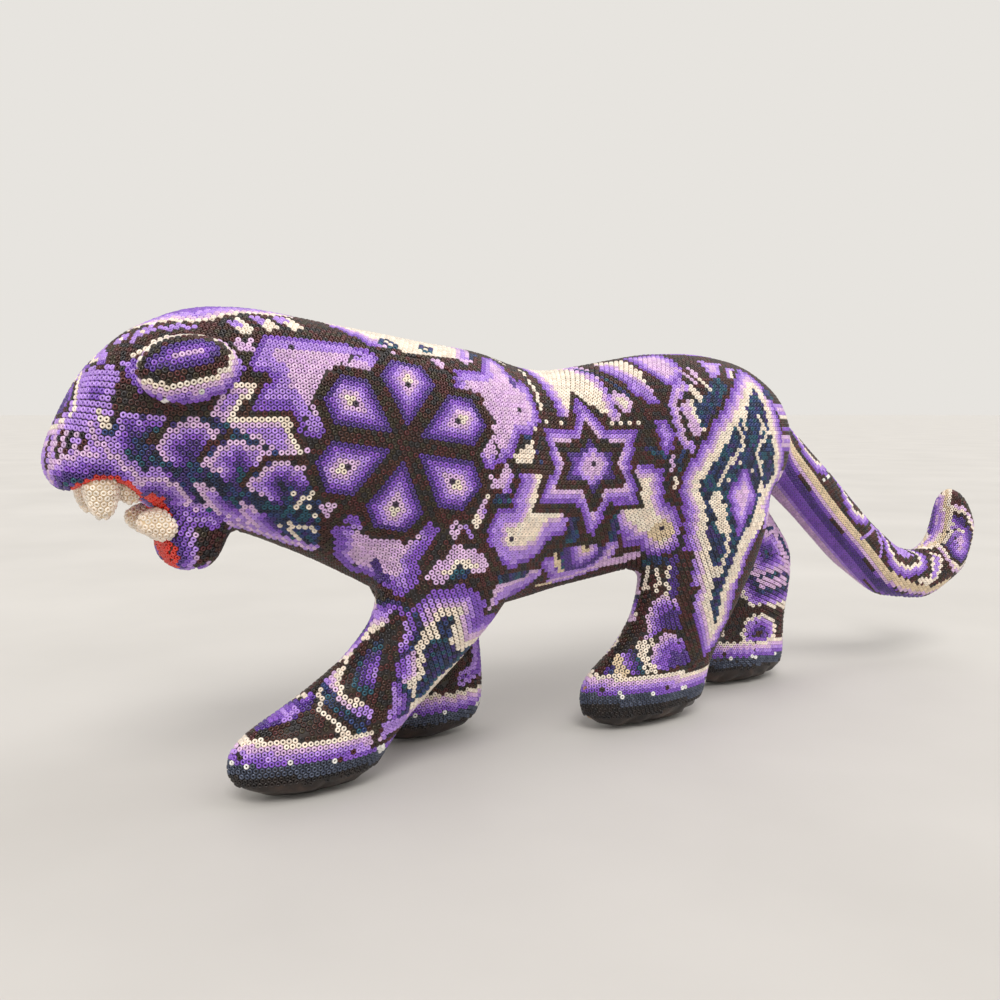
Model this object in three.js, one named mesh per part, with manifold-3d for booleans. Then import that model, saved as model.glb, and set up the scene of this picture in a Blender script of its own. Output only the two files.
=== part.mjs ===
// A walking big cat in the bead-mosaic style of western Mexico. Millimetres, +Z up, nose towards -X.
//
// It is built as the real one is: pieces of carved softwood pegged together, a thin coat of wax over each,
// and on the wax a skin of small glass beads. Every layer of every limb is a mesh of its own. A limb's layers
// are the same outline shrunk inwards, cut where the limb runs into the trunk.
import * as THREE from "three";
import { mergeVertices } from "three/addons/utils/BufferGeometryUtils.js";
import Module from "manifold-3d";

const wasm = await Module();
wasm.setup();

// ---- Driving dimensions ------------------------------------------------------------------------------

const BEAD_LAYER = 1.5; // height of a seed bead standing on its side in the wax
const WAX_LAYER = 1.3;
const GAP = 0.3; // between any two pieces that touch
const SOLE_HEIGHT = 3.2; // the lowest stretch of each paw, a bare pad of wax
const DOWEL_RADIUS = 4;
const PEG_RADIUS = 2.5;
const NECK_X = 6; // plane where the head is pegged to the trunk

// How far each surface lies inside the outline.
const BEAD_OUT = 0;
const BEAD_IN = BEAD_LAYER;
const WAX_OUT = BEAD_IN + GAP;
const WAX_IN = WAX_OUT + WAX_LAYER;
const CORE_OUT = WAX_IN + GAP;

const TRUNK_SIDES = 16;
const TRUNK_RINGS = 18;
const LEG_SIDES = 8;
const TAIL_SIDES = 8;
const TAIL_RINGS = 10;
const PEG_SIDES = 8;

// Trunk and head, nose to rump: x, back line, belly line, half width, and how square the section is
// below its middle, as the power of a superellipse (2 is round).
const TRUNK = [
  [-82, 123, 117, 6, 2],
  [-78.5, 131, 112, 12, 2.8],
  [-71, 147, 109, 18.5, 3.2],
  [-60, 160, 108.5, 23, 3.2],
  [-44, 169.5, 106, 28, 3],
  [-24, 174.5, 97, 31.5, 2.6],
  [-4, 172, 89, 33, 2.2],
  [16, 169, 79, 36, 2],
  [38, 166, 67, 40.5, 2],
  [58, 163, 59, 43.5, 2],
  [77, 161, 57, 43, 2],
  [92, 156, 58, 37.5, 2],
  [106, 153, 61, 33.5, 2],
  [126, 155, 63, 33, 2],
  [150, 160, 67, 35, 2],
  [174, 162.5, 70, 37.5, 2],
  [198, 162.5, 76, 37.5, 2],
  [218, 158, 86, 33.5, 2],
  [233, 149, 97, 25, 2],
  [242, 138, 108, 13, 2],
];

// Legs, from the sole up: z, front x, back x, middle y, half width. The right legs are written down as if
// they stood on the left, and levelOutline turns them over.
const FRONT_LEFT = [
  [0, -18, 21, -16, 8],
  [3.5, -26, 28, -16, 12],
  [11, -31, 33, -16, 14],
  [21, -29, 41, -16, 14],
  [31, -10, 52, -16.5, 13],
  [45, 12, 66, -18, 14.5],
  [60, 25, 79, -20, 17],
  [80, 28, 88, -22.5, 19.5],
  [112, 36, 82, -20, 16],
];
const FRONT_RIGHT = [
  [0, 44, 82, -19, 8],
  [3.5, 38, 90, -19, 12],
  [11, 34, 94, -19, 14],
  [21, 38, 94, -19, 14],
  [31, 50, 93, -19, 13],
  [48, 50, 91, -19.5, 14.5],
  [68, 40, 90, -21, 18],
  [88, 34, 88, -22, 19.5],
  [112, 38, 80, -20, 16],
];
const HIND_LEFT = [
  [0, 133, 183, -12, 8],
  [3.5, 126, 190, -12, 12],
  [11, 122, 195, -12, 14],
  [21, 123, 195, -12, 14],
  [31, 137, 200, -13, 13],
  [46, 149, 206, -15, 14.5],
  [68, 152, 214, -19, 17.5],
  [92, 151, 222, -21, 18.5],
  [124, 166, 214, -18, 14],
];
const HIND_RIGHT = [
  [0, 217, 267, -18, 8],
  [3.5, 211, 273, -18, 12],
  [11, 208, 275, -18, 14],
  [21, 211, 274, -18, 14],
  [31, 225, 273, -18, 13],
  [48, 230, 276, -18, 14.5],
  [66, 221, 278, -19, 16],
  [90, 190, 259, -20, 18],
  [124, 168, 214, -18, 14],
];

// Tail, root to tip: x, y, z, radius.
const TAIL = [
  [214, 0, 134, 16],
  [240, 0, 121, 15],
  [268, 0, 100, 14.5],
  [296, 0, 76, 14.5],
  [321, 0, 57, 14.5],
  [346, 0, 47, 14],
  [370, 0, 49, 13.5],
  [386, 0, 61, 13],
  [389, 0, 77, 12.5],
  [384, 0, 90, 8],
  [381, 0, 94, 3],
];

const EAR = { at: [-42, -29.5, 150.5], half: [16.8, 8, 11.5], lift: -0.22, lean: -0.35 };
// The jaw hangs open under the skull, hollow in front. Rows as for the legs.
const JAW = [
  [82.5, -40, -30, 0, 8],
  [86, -45, -26, 0, 13],
  [92, -48, -23, 0, 16],
  [101, -49.5, -20.5, 0, 18],
  [113, -47, -22, 0, 17],
];
const PALATE = { at: [-64, 0, 108], half: [12.5, 32, 11] };
const JAW_HOLLOW = { at: [-51, 0, 97.5], half: [9, 28, 9.5] };
// Fangs: foot of the cone on the left, the way it points, length, foot radius.
const FANGS = {
  fang_upper_front_left: { foot: [-66, -10, 118.5], to: [0.05, -0.1, -1], long: 15.5, radius: 4.8 },
  fang_upper_back_left: { foot: [-57, -9, 117.5], to: [0.1, 0, -1], long: 10, radius: 3.4 },
  fang_lower_left: { foot: [-41, -9, 98.5], to: [-1, -0.1, 0.15], long: 12.5, radius: 5 },
};
const FANG_TIP = 1.6;

const WOOD = { color: 0xb98a5a, roughness: 0.75, metalness: 0 };
const WAX = { color: 0x3a2417, roughness: 0.55, metalness: 0 };
const BEADS = { color: 0x6c3fc0, roughness: 0.2, metalness: 0 };
const GUM_BEADS = { color: 0xe8391c, roughness: 0.2, metalness: 0 };
const TOOTH_BEADS = { color: 0xe6d7b8, roughness: 0.3, metalness: 0 };
const PEG_WOOD = { color: 0xd9b98a, roughness: 0.7, metalness: 0 };

// ---- Surfaces ----------------------------------------------------------------------------------------

// A closed surface through rings of points, with a flat fan over the first and the last ring.
function skin(rings) {
  const sides = rings[0].length;
  const points = rings.flat();
  const faces = [];
  for (let r = 0; r + 1 < rings.length; r++) {
    for (let s = 0; s < sides; s++) {
      const a = r * sides + s;
      const b = r * sides + ((s + 1) % sides);
      faces.push(a, b, b + sides, a, b + sides, a + sides);
    }
  }
  for (const [ring, turned] of [[0, true], [rings.length - 1, false]]) {
    const middle = points.push(centreOf(rings[ring])) - 1;
    for (let s = 0; s < sides; s++) {
      const a = ring * sides + s;
      const b = ring * sides + ((s + 1) % sides);
      faces.push(...(turned ? [b, a, middle] : [a, b, middle]));
    }
  }
  return new THREE.BufferGeometry().setFromPoints(points).setIndex(faces);
}

function centreOf(ring) {
  return ring.reduce((sum, point) => sum.add(point), new THREE.Vector3()).divideScalar(ring.length);
}

// Rows of numbers as a smooth run of `count` rows, through every given row.
function smoothRows(rows, count) {
  const curves = [];
  for (let c = 0; c < rows[0].length; c += 3) {
    const points = rows.map((row) => new THREE.Vector3(row[c], row[c + 1] ?? 0, row[c + 2] ?? 0));
    curves.push(new THREE.CatmullRomCurve3(points));
  }
  return Array.from({ length: count }, (_, i) =>
    curves.flatMap((curve) => curve.getPoint(i / (count - 1)).toArray()),
  );
}

function trunkOutline() {
  const rings = smoothRows(TRUNK, TRUNK_RINGS).map(([x, top, bottom, half, power]) => {
    const middle = (top + bottom) / 2;
    const rise = (top - bottom) / 2;
    return around(TRUNK_SIDES).map(([c, s]) => {
      const reach = s < 0 ? (Math.abs(c) ** power + Math.abs(s) ** power) ** (-1 / power) : 1;
      return new THREE.Vector3(x, half * c * reach, middle + rise * s * reach);
    });
  });
  return skin(rings);
}

// Points of the unit circle, from +Y round by +Z.
function around(sides) {
  return Array.from({ length: sides }, (_, i) => {
    const angle = (2 * Math.PI * i) / sides;
    return [Math.cos(angle), Math.sin(angle)];
  });
}

// A leg or the jaw: level rings, one for each row. side is 1 on the left and -1 on the right.
function levelOutline(rows, side = 1) {
  return skin(
    rows.map(([z, front, back, y, half]) =>
      around(LEG_SIDES).map(([c, s]) =>
        new THREE.Vector3((front + back) / 2 + ((back - front) / 2) * c, side * y + half * s, z),
      ),
    ),
  );
}

// A leg's rows run on below the ground, so that every layer of it is cut off level.
function throughGround(rows) {
  const [, ...sole] = rows[0];
  return [[-10, ...sole], ...rows];
}

function tailOutline() {
  const rows = smoothRows(TAIL, TAIL_RINGS);
  const spine = rows.map(([x, y, z]) => new THREE.Vector3(x, y, z));
  const rings = rows.map(([, , , radius], i) => {
    const next = spine[Math.min(i + 1, spine.length - 1)];
    const along = next.clone().sub(spine[Math.max(i - 1, 0)]).normalize();
    const across = new THREE.Vector3(0, 1, 0);
    const up = across.clone().cross(along);
    return around(TAIL_SIDES).map(([c, s]) =>
      spine[i].clone().addScaledVector(across, radius * c).addScaledVector(up, -radius * s),
    );
  });
  return skin(rings);
}

function egg({ at, half }, side = 1, lift = 0, lean = 0, rows = 6, columns = 10) {
  const g = new THREE.SphereGeometry(1, columns, rows);
  g.scale(...half);
  g.rotateY(lift);
  g.rotateX(side * lean);
  g.translate(at[0], side * at[1], at[2]);
  return g;
}

function earOutline(side) {
  return egg(EAR, side, EAR.lift, EAR.lean);
}

// ---- Solids ------------------------------------------------------------------------------------------

function merged(geometry) {
  const g = geometry.clone();
  g.deleteAttribute("normal");
  g.deleteAttribute("uv");
  return mergeVertices(g, 1e-4);
}

function solid(geometry) {
  const g = merged(geometry);
  const make = () =>
    new wasm.Manifold(
      new wasm.Mesh({
        numProp: 3,
        vertProperties: new Float32Array(g.attributes.position.array),
        triVerts: new Uint32Array(g.index.array),
      }),
    );
  const made = make();
  if (made.volume() > 0) return made;
  const index = g.index.array;
  for (let i = 0; i < index.length; i += 3) {
    [index[i + 1], index[i + 2]] = [index[i + 2], index[i + 1]];
  }
  return make();
}

// The outline moved inwards by depth, or outwards where depth is negative.
function inset(geometry, depth) {
  const g = merged(geometry);
  g.computeVertexNormals();
  const outwards = volumeSign(g);
  const p = g.attributes.position;
  const n = g.attributes.normal;
  for (let i = 0; i < p.count; i++) {
    p.setXYZ(
      i,
      p.getX(i) - outwards * depth * n.getX(i),
      p.getY(i) - outwards * depth * n.getY(i),
      p.getZ(i) - outwards * depth * n.getZ(i),
    );
  }
  return solid(g);
}

function volumeSign(g) {
  const corner = [new THREE.Vector3(), new THREE.Vector3(), new THREE.Vector3()];
  let sum = 0;
  for (let i = 0; i < g.index.count; i += 3) {
    corner.forEach((v, k) => v.fromBufferAttribute(g.attributes.position, g.index.getX(i + k)));
    sum += corner[0].dot(corner[1].clone().cross(corner[2]));
  }
  return Math.sign(sum);
}

function block(low, high) {
  const g = new THREE.BoxGeometry(high[0] - low[0], high[1] - low[1], high[2] - low[2]);
  g.translate((low[0] + high[0]) / 2, (low[1] + high[1]) / 2, (low[2] + high[2]) / 2);
  return solid(g);
}

// A round rod from one point to another.
function rod(from, to, radius) {
  const a = new THREE.Vector3(...from);
  const b = new THREE.Vector3(...to);
  const g = new THREE.CylinderGeometry(radius, radius, a.distanceTo(b), PEG_SIDES);
  g.applyQuaternion(
    new THREE.Quaternion().setFromUnitVectors(new THREE.Vector3(0, 1, 0), b.clone().sub(a).normalize()),
  );
  g.translate(...a.clone().add(b).divideScalar(2).toArray());
  return solid(g);
}

// A round-tipped cone, standing on `foot` and pointing along `to`.
function fangSolid({ foot, to, long, radius }, side) {
  const profile = [
    [0, 0],
    [radius, 0],
    [radius * 0.94, long * 0.3],
    [radius * 0.74, long * 0.6],
    [radius * 0.5, long * 0.82],
    [FANG_TIP * 0.8, long * 0.96],
    [0, long],
  ].map(([r, y]) => new THREE.Vector2(r, y));
  const g = new THREE.LatheGeometry(profile, 10);
  const way = new THREE.Vector3(to[0], side * to[1], to[2]).normalize();
  g.applyQuaternion(new THREE.Quaternion().setFromUnitVectors(new THREE.Vector3(0, 1, 0), way));
  g.translate(foot[0], side * foot[1], foot[2]);
  return solid(g);
}

function largest(shape) {
  return shape.decompose().reduce((a, b) => (b.volume() > a.volume() ? b : a));
}

// ---- Outlines of the parts ---------------------------------------------------------------------------

const trunk = trunkOutline();
const FAR = 1000;
const beforeNeck = block([-FAR, -FAR, -FAR], [NECK_X - GAP / 2, FAR, FAR]);
const behindNeck = block([NECK_X + GAP / 2, -FAR, -FAR], [FAR, FAR, FAR]);
const aboveSole = block([-FAR, -FAR, SOLE_HEIGHT], [FAR, FAR, FAR]);
const insideSole = block([-FAR, -FAR, 0], [FAR, FAR, SOLE_HEIGHT - GAP]);

const limbs = {
  jaw: levelOutline(JAW),
  ear_left: earOutline(1),
  ear_right: earOutline(-1),
  leg_front_left: levelOutline(throughGround(FRONT_LEFT), 1),
  leg_front_right: levelOutline(throughGround(FRONT_RIGHT), -1),
  leg_hind_left: levelOutline(throughGround(HIND_LEFT), 1),
  leg_hind_right: levelOutline(throughGround(HIND_RIGHT), -1),
  tail: tailOutline(),
};
const onHead = (name) => name === "jaw" || name.startsWith("ear");

const palate = egg(PALATE);
const jawHollow = egg(JAW_HOLLOW);

// ---- Pegs: where each one ends, and its radius -------------------------------------------------------

const pegs = {
  neck_dowel: { ends: [[-16, 0, 132], [30, 0, 128]], radius: DOWEL_RADIUS },
  tail_dowel: { ends: [[214, 0, 136], [256, 0, 109]], radius: DOWEL_RADIUS },
  jaw_dowel: { ends: [[-32, 0, 122], [-32, 0, 94]], radius: PEG_RADIUS },
  ear_left_peg: { ends: [[-40, -14, 148], [-41, -29, 152]], radius: PEG_RADIUS },
  ear_right_peg: { ends: [[-40, 14, 148], [-41, 29, 152]], radius: PEG_RADIUS },
  leg_front_left_dowel: { ends: [[60, -12, 92], [52, -21, 54]], radius: DOWEL_RADIUS },
  leg_front_right_dowel: { ends: [[62, 12, 92], [70, 19, 46]], radius: DOWEL_RADIUS },
  leg_hind_left_dowel: { ends: [[188, -12, 104], [182, -18, 54]], radius: DOWEL_RADIUS },
  leg_hind_right_dowel: { ends: [[200, 12, 112], [236, 18, 78]], radius: DOWEL_RADIUS },
};

const pegHoles = Object.values(pegs).map(({ ends, radius }) => {
  const [from, to] = ends.map((p) => new THREE.Vector3(...p));
  const past = to.clone().sub(from).normalize().multiplyScalar(GAP);
  return rod(from.clone().sub(past).toArray(), to.clone().add(past).toArray(), radius + GAP);
});

function drilled(shape) {
  return pegHoles.reduce((rest, hole) => rest.subtract(hole), shape);
}

// ---- Layers ------------------------------------------------------------------------------------------

const pieces = [];
const place = (name, shape, look) => pieces.push({ name, shape: largest(shape), look });
const placeDrilled = (name, shape, look) => place(name, drilled(shape), look);

const mouth = inset(palate, -GAP);
const hollow = inset(jawHollow, -GAP);

// The trunk's shell between two depths, opened where each limb passes through it.
function trunkShell(out, inner, half, mine) {
  let shell = inset(trunk, out).subtract(inset(trunk, inner)).intersect(half);
  shell = shell.subtract(mouth).subtract(hollow);
  for (const [name, outline] of Object.entries(limbs)) {
    if (onHead(name) === mine) shell = shell.subtract(inset(outline, out - GAP));
  }
  return shell;
}

placeDrilled("trunk_core", inset(trunk, CORE_OUT).intersect(behindNeck), WOOD);
placeDrilled("trunk_wax", trunkShell(WAX_OUT, WAX_IN, behindNeck, false), WAX);
placeDrilled("trunk_beads", trunkShell(BEAD_OUT, BEAD_IN, behindNeck, false), BEADS);

const skull = inset(trunk, CORE_OUT).intersect(beforeNeck).subtract(mouth).subtract(hollow);
placeDrilled("head_core", skull, WOOD);
placeDrilled("head_wax", trunkShell(WAX_OUT, WAX_IN, beforeNeck, true), WAX);
placeDrilled("head_beads", trunkShell(BEAD_OUT, BEAD_IN, beforeNeck, true), BEADS);

for (const [name, outline] of Object.entries(limbs)) {
  const opened = (shape) => (name === "jaw" ? shape.subtract(hollow).subtract(mouth) : shape);
  const shod = (shape) => (name.startsWith("leg") ? shape.intersect(aboveSole) : shape);
  const shell = (out, inner) =>
    shod(opened(inset(outline, out).subtract(inset(outline, inner)).subtract(inset(trunk, out - GAP))));
  const wood = inset(outline, CORE_OUT).subtract(inset(trunk, CORE_OUT - GAP));
  placeDrilled(name + "_core", shod(opened(wood)), WOOD);
  placeDrilled(name + "_wax", shell(WAX_OUT, WAX_IN), WAX);
  placeDrilled(name + "_beads", shell(BEAD_OUT, BEAD_IN), BEADS);
}

// Under each paw, a pad of wax inside the skirt of beads.
for (const name of Object.keys(limbs).filter((n) => n.startsWith("leg"))) {
  place(name.replace("leg", "sole"), inset(limbs[name], WAX_OUT).intersect(insideSole), WAX);
}

// Red beads line the palate and the hollow of the jaw.
const palateLining = inset(palate, 0).subtract(inset(palate, BEAD_LAYER)).intersect(inset(trunk, GAP));
place("palate_beads", palateLining, GUM_BEADS);
const jawLining = inset(jawHollow, 0).subtract(inset(jawHollow, BEAD_LAYER)).intersect(inset(limbs.jaw, GAP));
place("jaw_lining_beads", jawLining.subtract(inset(trunk, -GAP)).subtract(mouth), GUM_BEADS);

// Each fang stands on its lining.
const inPalate = inset(palate, BEAD_LAYER + GAP);
const inHollow = inset(jawHollow, BEAD_LAYER + GAP);
const solidHead = inset(trunk, -GAP).subtract(inPalate).subtract(inHollow);
const solidJaw = inset(limbs.jaw, -GAP).subtract(inHollow).subtract(inPalate);
for (const [name, fang] of Object.entries(FANGS)) {
  for (const side of [1, -1]) {
    const shape = fangSolid(fang, side).subtract(solidHead).subtract(solidJaw);
    place(side > 0 ? name : name.replace("left", "right"), shape, TOOTH_BEADS);
  }
}

for (const [name, { ends, radius }] of Object.entries(pegs)) {
  place(name, rod(ends[0], ends[1], radius), PEG_WOOD);
}

// ---- The figure --------------------------------------------------------------------------------------

function geometryOf(shape) {
  const mesh = shape.getMesh();
  const points = new Float32Array(mesh.numVert * 3);
  for (let i = 0; i < mesh.numVert; i++) {
    points.set(mesh.vertProperties.subarray(i * mesh.numProp, i * mesh.numProp + 3), i * 3);
  }
  const g = new THREE.BufferGeometry();
  g.setAttribute("position", new THREE.BufferAttribute(points, 3));
  g.setIndex(new THREE.BufferAttribute(new Uint32Array(mesh.triVerts), 1));
  g.computeVertexNormals();
  return g;
}

const figure = new THREE.Group();
for (const { name, shape, look } of pieces) {
  const mesh = new THREE.Mesh(geometryOf(shape), new THREE.MeshStandardMaterial(look));
  mesh.name = name;
  figure.add(mesh);
}

// The rows above measure x from the left front paw. The finished figure's origin is under its middle.
const extent = new THREE.Box3().setFromObject(figure);
figure.position.x = -(extent.min.x + extent.max.x) / 2;

export default figure;
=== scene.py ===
"""The looks of the beaded cat: a smooth coat of dark wax over the carved pieces, and on it tens of
thousands of seed beads, each a small glass ring standing with its hole outwards.

The wax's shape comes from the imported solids. The beads are laid on it one by one, each against its
neighbours, outwards from a few first beads, as they are laid by hand. Their colours come from pattern
functions that count in beads.
"""

import math
from collections import deque

import bpy
import numpy as np
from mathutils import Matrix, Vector, noise
from mathutils.bvhtree import BVHTree


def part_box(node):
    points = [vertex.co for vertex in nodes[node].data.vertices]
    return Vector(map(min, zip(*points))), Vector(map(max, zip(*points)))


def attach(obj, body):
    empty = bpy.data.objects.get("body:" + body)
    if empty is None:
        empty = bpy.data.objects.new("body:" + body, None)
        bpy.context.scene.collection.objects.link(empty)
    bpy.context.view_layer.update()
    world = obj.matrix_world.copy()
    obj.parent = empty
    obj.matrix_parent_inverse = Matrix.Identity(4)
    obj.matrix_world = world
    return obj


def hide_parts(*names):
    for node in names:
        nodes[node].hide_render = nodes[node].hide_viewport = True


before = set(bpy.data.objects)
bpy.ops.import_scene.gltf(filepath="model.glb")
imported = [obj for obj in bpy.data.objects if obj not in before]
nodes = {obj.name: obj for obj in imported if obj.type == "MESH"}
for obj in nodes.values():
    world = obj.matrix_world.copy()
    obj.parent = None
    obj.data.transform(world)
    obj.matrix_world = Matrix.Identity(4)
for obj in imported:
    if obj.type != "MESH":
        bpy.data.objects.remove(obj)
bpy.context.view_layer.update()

MM = 0.001
PITCH = 2.1 * MM  # from one bead's middle to the next
WAX_VOXEL = 1.6 * MM
SOLE_LINE = {"front": 6.8 * MM, "hind": 8.6 * MM}  # below this the paws are bare wax
SEED = 7

LIMBS = ["trunk", "head", "jaw", "ear_left", "ear_right", "leg_front_left", "leg_front_right",
         "leg_hind_left", "leg_hind_right", "tail"]
LININGS = ["palate_beads", "jaw_lining_beads"]
FANGS = sorted(n for n in nodes if n.startswith("fang"))
SOLES = sorted(n for n in nodes if n.startswith("sole"))


def middle(node):
    low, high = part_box(node)
    return (low + high) / 2


# ---- Meshes and numbers ----------------------------------------------------------------------------------

def points_of(mesh):
    flat = np.empty(len(mesh.vertices) * 3)
    mesh.vertices.foreach_get("co", flat)
    return flat.reshape(-1, 3)


def new_object(name, mesh):
    made = bpy.data.objects.new(name, mesh)
    bpy.context.scene.collection.objects.link(made)
    return made


def copy_of(name, sources):
    """One new mesh that holds the faces of several CAD nodes."""
    points, faces = [], []
    for source in sources:
        mesh = nodes[source].data
        offset = len(points)
        points += [tuple(v.co) for v in mesh.vertices]
        faces += [tuple(offset + i for i in p.vertices) for p in mesh.polygons]
    mesh = bpy.data.meshes.new(name)
    mesh.from_pydata(points, [], faces)
    return new_object(name, mesh)


def applied(piece):
    """The piece with its modifiers made part of its mesh."""
    graph = bpy.context.evaluated_depsgraph_get()
    mesh = bpy.data.meshes.new_from_object(piece.evaluated_get(graph))
    piece.modifiers.clear()
    piece.data = mesh
    return piece


def remeshed(piece, voxel):
    """The piece with its mesh made anew from voxels of that size."""
    remesh = piece.modifiers.new("remesh", "REMESH")
    remesh.mode = "VOXEL"
    remesh.voxel_size = voxel
    return applied(piece)


def edges_of(mesh):
    """The first point of each edge, and the second of each."""
    flat = np.empty(len(mesh.edges) * 2, np.int64)
    mesh.edges.foreach_get("vertices", flat)
    return flat.reshape(-1, 2).T


def move_points(mesh, points):
    mesh.vertices.foreach_set("co", points.ravel())
    mesh.update()


def outer_island(mesh):
    """Keeps the connected part of the mesh with the largest box."""
    a, b = edges_of(mesh)
    label = np.arange(len(mesh.vertices))
    while True:
        low = np.minimum(label[a], label[b])
        before = label.copy()
        np.minimum.at(label, a, low)
        np.minimum.at(label, b, low)
        label = label[label]
        if (label == before).all():
            break
    points = points_of(mesh)
    names, sizes = np.unique(label, return_counts=True)
    spans = [np.ptp(points[label == n], axis=0).max() if s > 50 else 0 for n, s in zip(names, sizes)]
    keep = label == names[int(np.argmax(spans))]
    index = np.cumsum(keep) - 1
    faces = [tuple(index[i] for i in p.vertices) for p in mesh.polygons if keep[p.vertices[0]]]
    kept = bpy.data.meshes.new(mesh.name)
    kept.from_pydata([tuple(p) for p in points[keep]], [], faces)
    return kept


def smoothed(mesh, weight, rounds):
    """Moves each point towards the mean of its neighbours, weight times as far, over and over."""
    points = points_of(mesh)
    a, b = edges_of(mesh)
    count = len(points)
    degree = np.bincount(a, minlength=count) + np.bincount(b, minlength=count)
    for _ in range(rounds):
        mean = np.stack([np.bincount(a, points[b, k], count) + np.bincount(b, points[a, k], count)
                         for k in range(3)], axis=1) / degree[:, None]
        points += weight[:, None] * (mean - points)
    move_points(mesh, points)


def normals_of(mesh):
    flat = np.empty(len(mesh.vertices) * 3)
    mesh.vertices.foreach_get("normal", flat)
    return flat.reshape(-1, 3)


# ---- The wax's outer surface -----------------------------------------------------------------------------

def near_box(points, node, reach):
    """1 inside a node's box, falling to 0 at that distance from it."""
    low, high = (np.array(corner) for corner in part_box(node))
    outside = np.linalg.norm(np.maximum(0, np.maximum(low - points, points - high)), axis=1)
    return np.clip(1 - outside / reach, 0, 1)


LUMP_TOP = 9 * MM  # the bare wax below this is pressed into lumps
LUMP = 5 * MM  # how far the lumps stand out at the floor
LUMP_SCALE = 190  # waves to the metre
FINE_REACH = 6 * MM  # the mouth and the ears are smoothed less, out to this distance
COAT = 0.35 * MM  # the wax stands this far out from the smoothed solids


def wax_surface():
    layers = [n for n in nodes if n not in FANGS]
    piece = copy_of("wax_coat", layers)
    remeshed(piece, WAX_VOXEL)
    piece.data = outer_island(piece.data)
    points = points_of(piece.data)
    fine = np.zeros(len(points))
    for node in LININGS + ["jaw_beads", "ear_left_beads", "ear_right_beads"]:
        fine = np.maximum(fine, near_box(points, node, FINE_REACH))
    smoothed(piece.data, 0.5 * np.where(fine > 0, 1 - 0.75 * fine, 1), rounds=60)
    smoothed(piece.data, np.full(len(points), 0.35), rounds=3)
    normals = normals_of(piece.data)
    points = points_of(piece.data) + COAT * normals
    for n in np.flatnonzero(points[:, 2] < LUMP_TOP):
        share = 1 - points[n, 2] / LUMP_TOP
        points[n, :2] += normals[n, :2] * LUMP * share * noise.noise(Vector(points[n]) * LUMP_SCALE)
    points[:, 2] = np.maximum(points[:, 2], 0)
    move_points(piece.data, points)
    return piece


# ---- Laying the beads ------------------------------------------------------------------------------------

# Distances between beads, in pitches.
LOOK_AROUND = 2.4
BESIDE = 1.35  # beads within this push one another apart
TAKEN = 0.7  # a place this close to a bead isn't tried
CLOSEST = 0.88  # the least gap that a bead is laid in
GAP_CLOSEST = 0.84  # the same where beads fill what is left between the rows
GAP_TURNS = 12


def anywhere(place, normal):
    return True


class Surface:
    """Finds the nearest point of a mesh, with the smooth normal there."""

    def __init__(self, mesh):
        self.tree = BVHTree.FromPolygons([v.co for v in mesh.vertices], [p.vertices for p in mesh.polygons])
        corner = normals_of(mesh)
        self.normal = [Vector(corner[list(p.vertices)].mean(0)).normalized() for p in mesh.polygons]

    def nearest(self, point):
        place, _, face, _ = self.tree.find_nearest(point)
        return place, self.normal[face]


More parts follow.
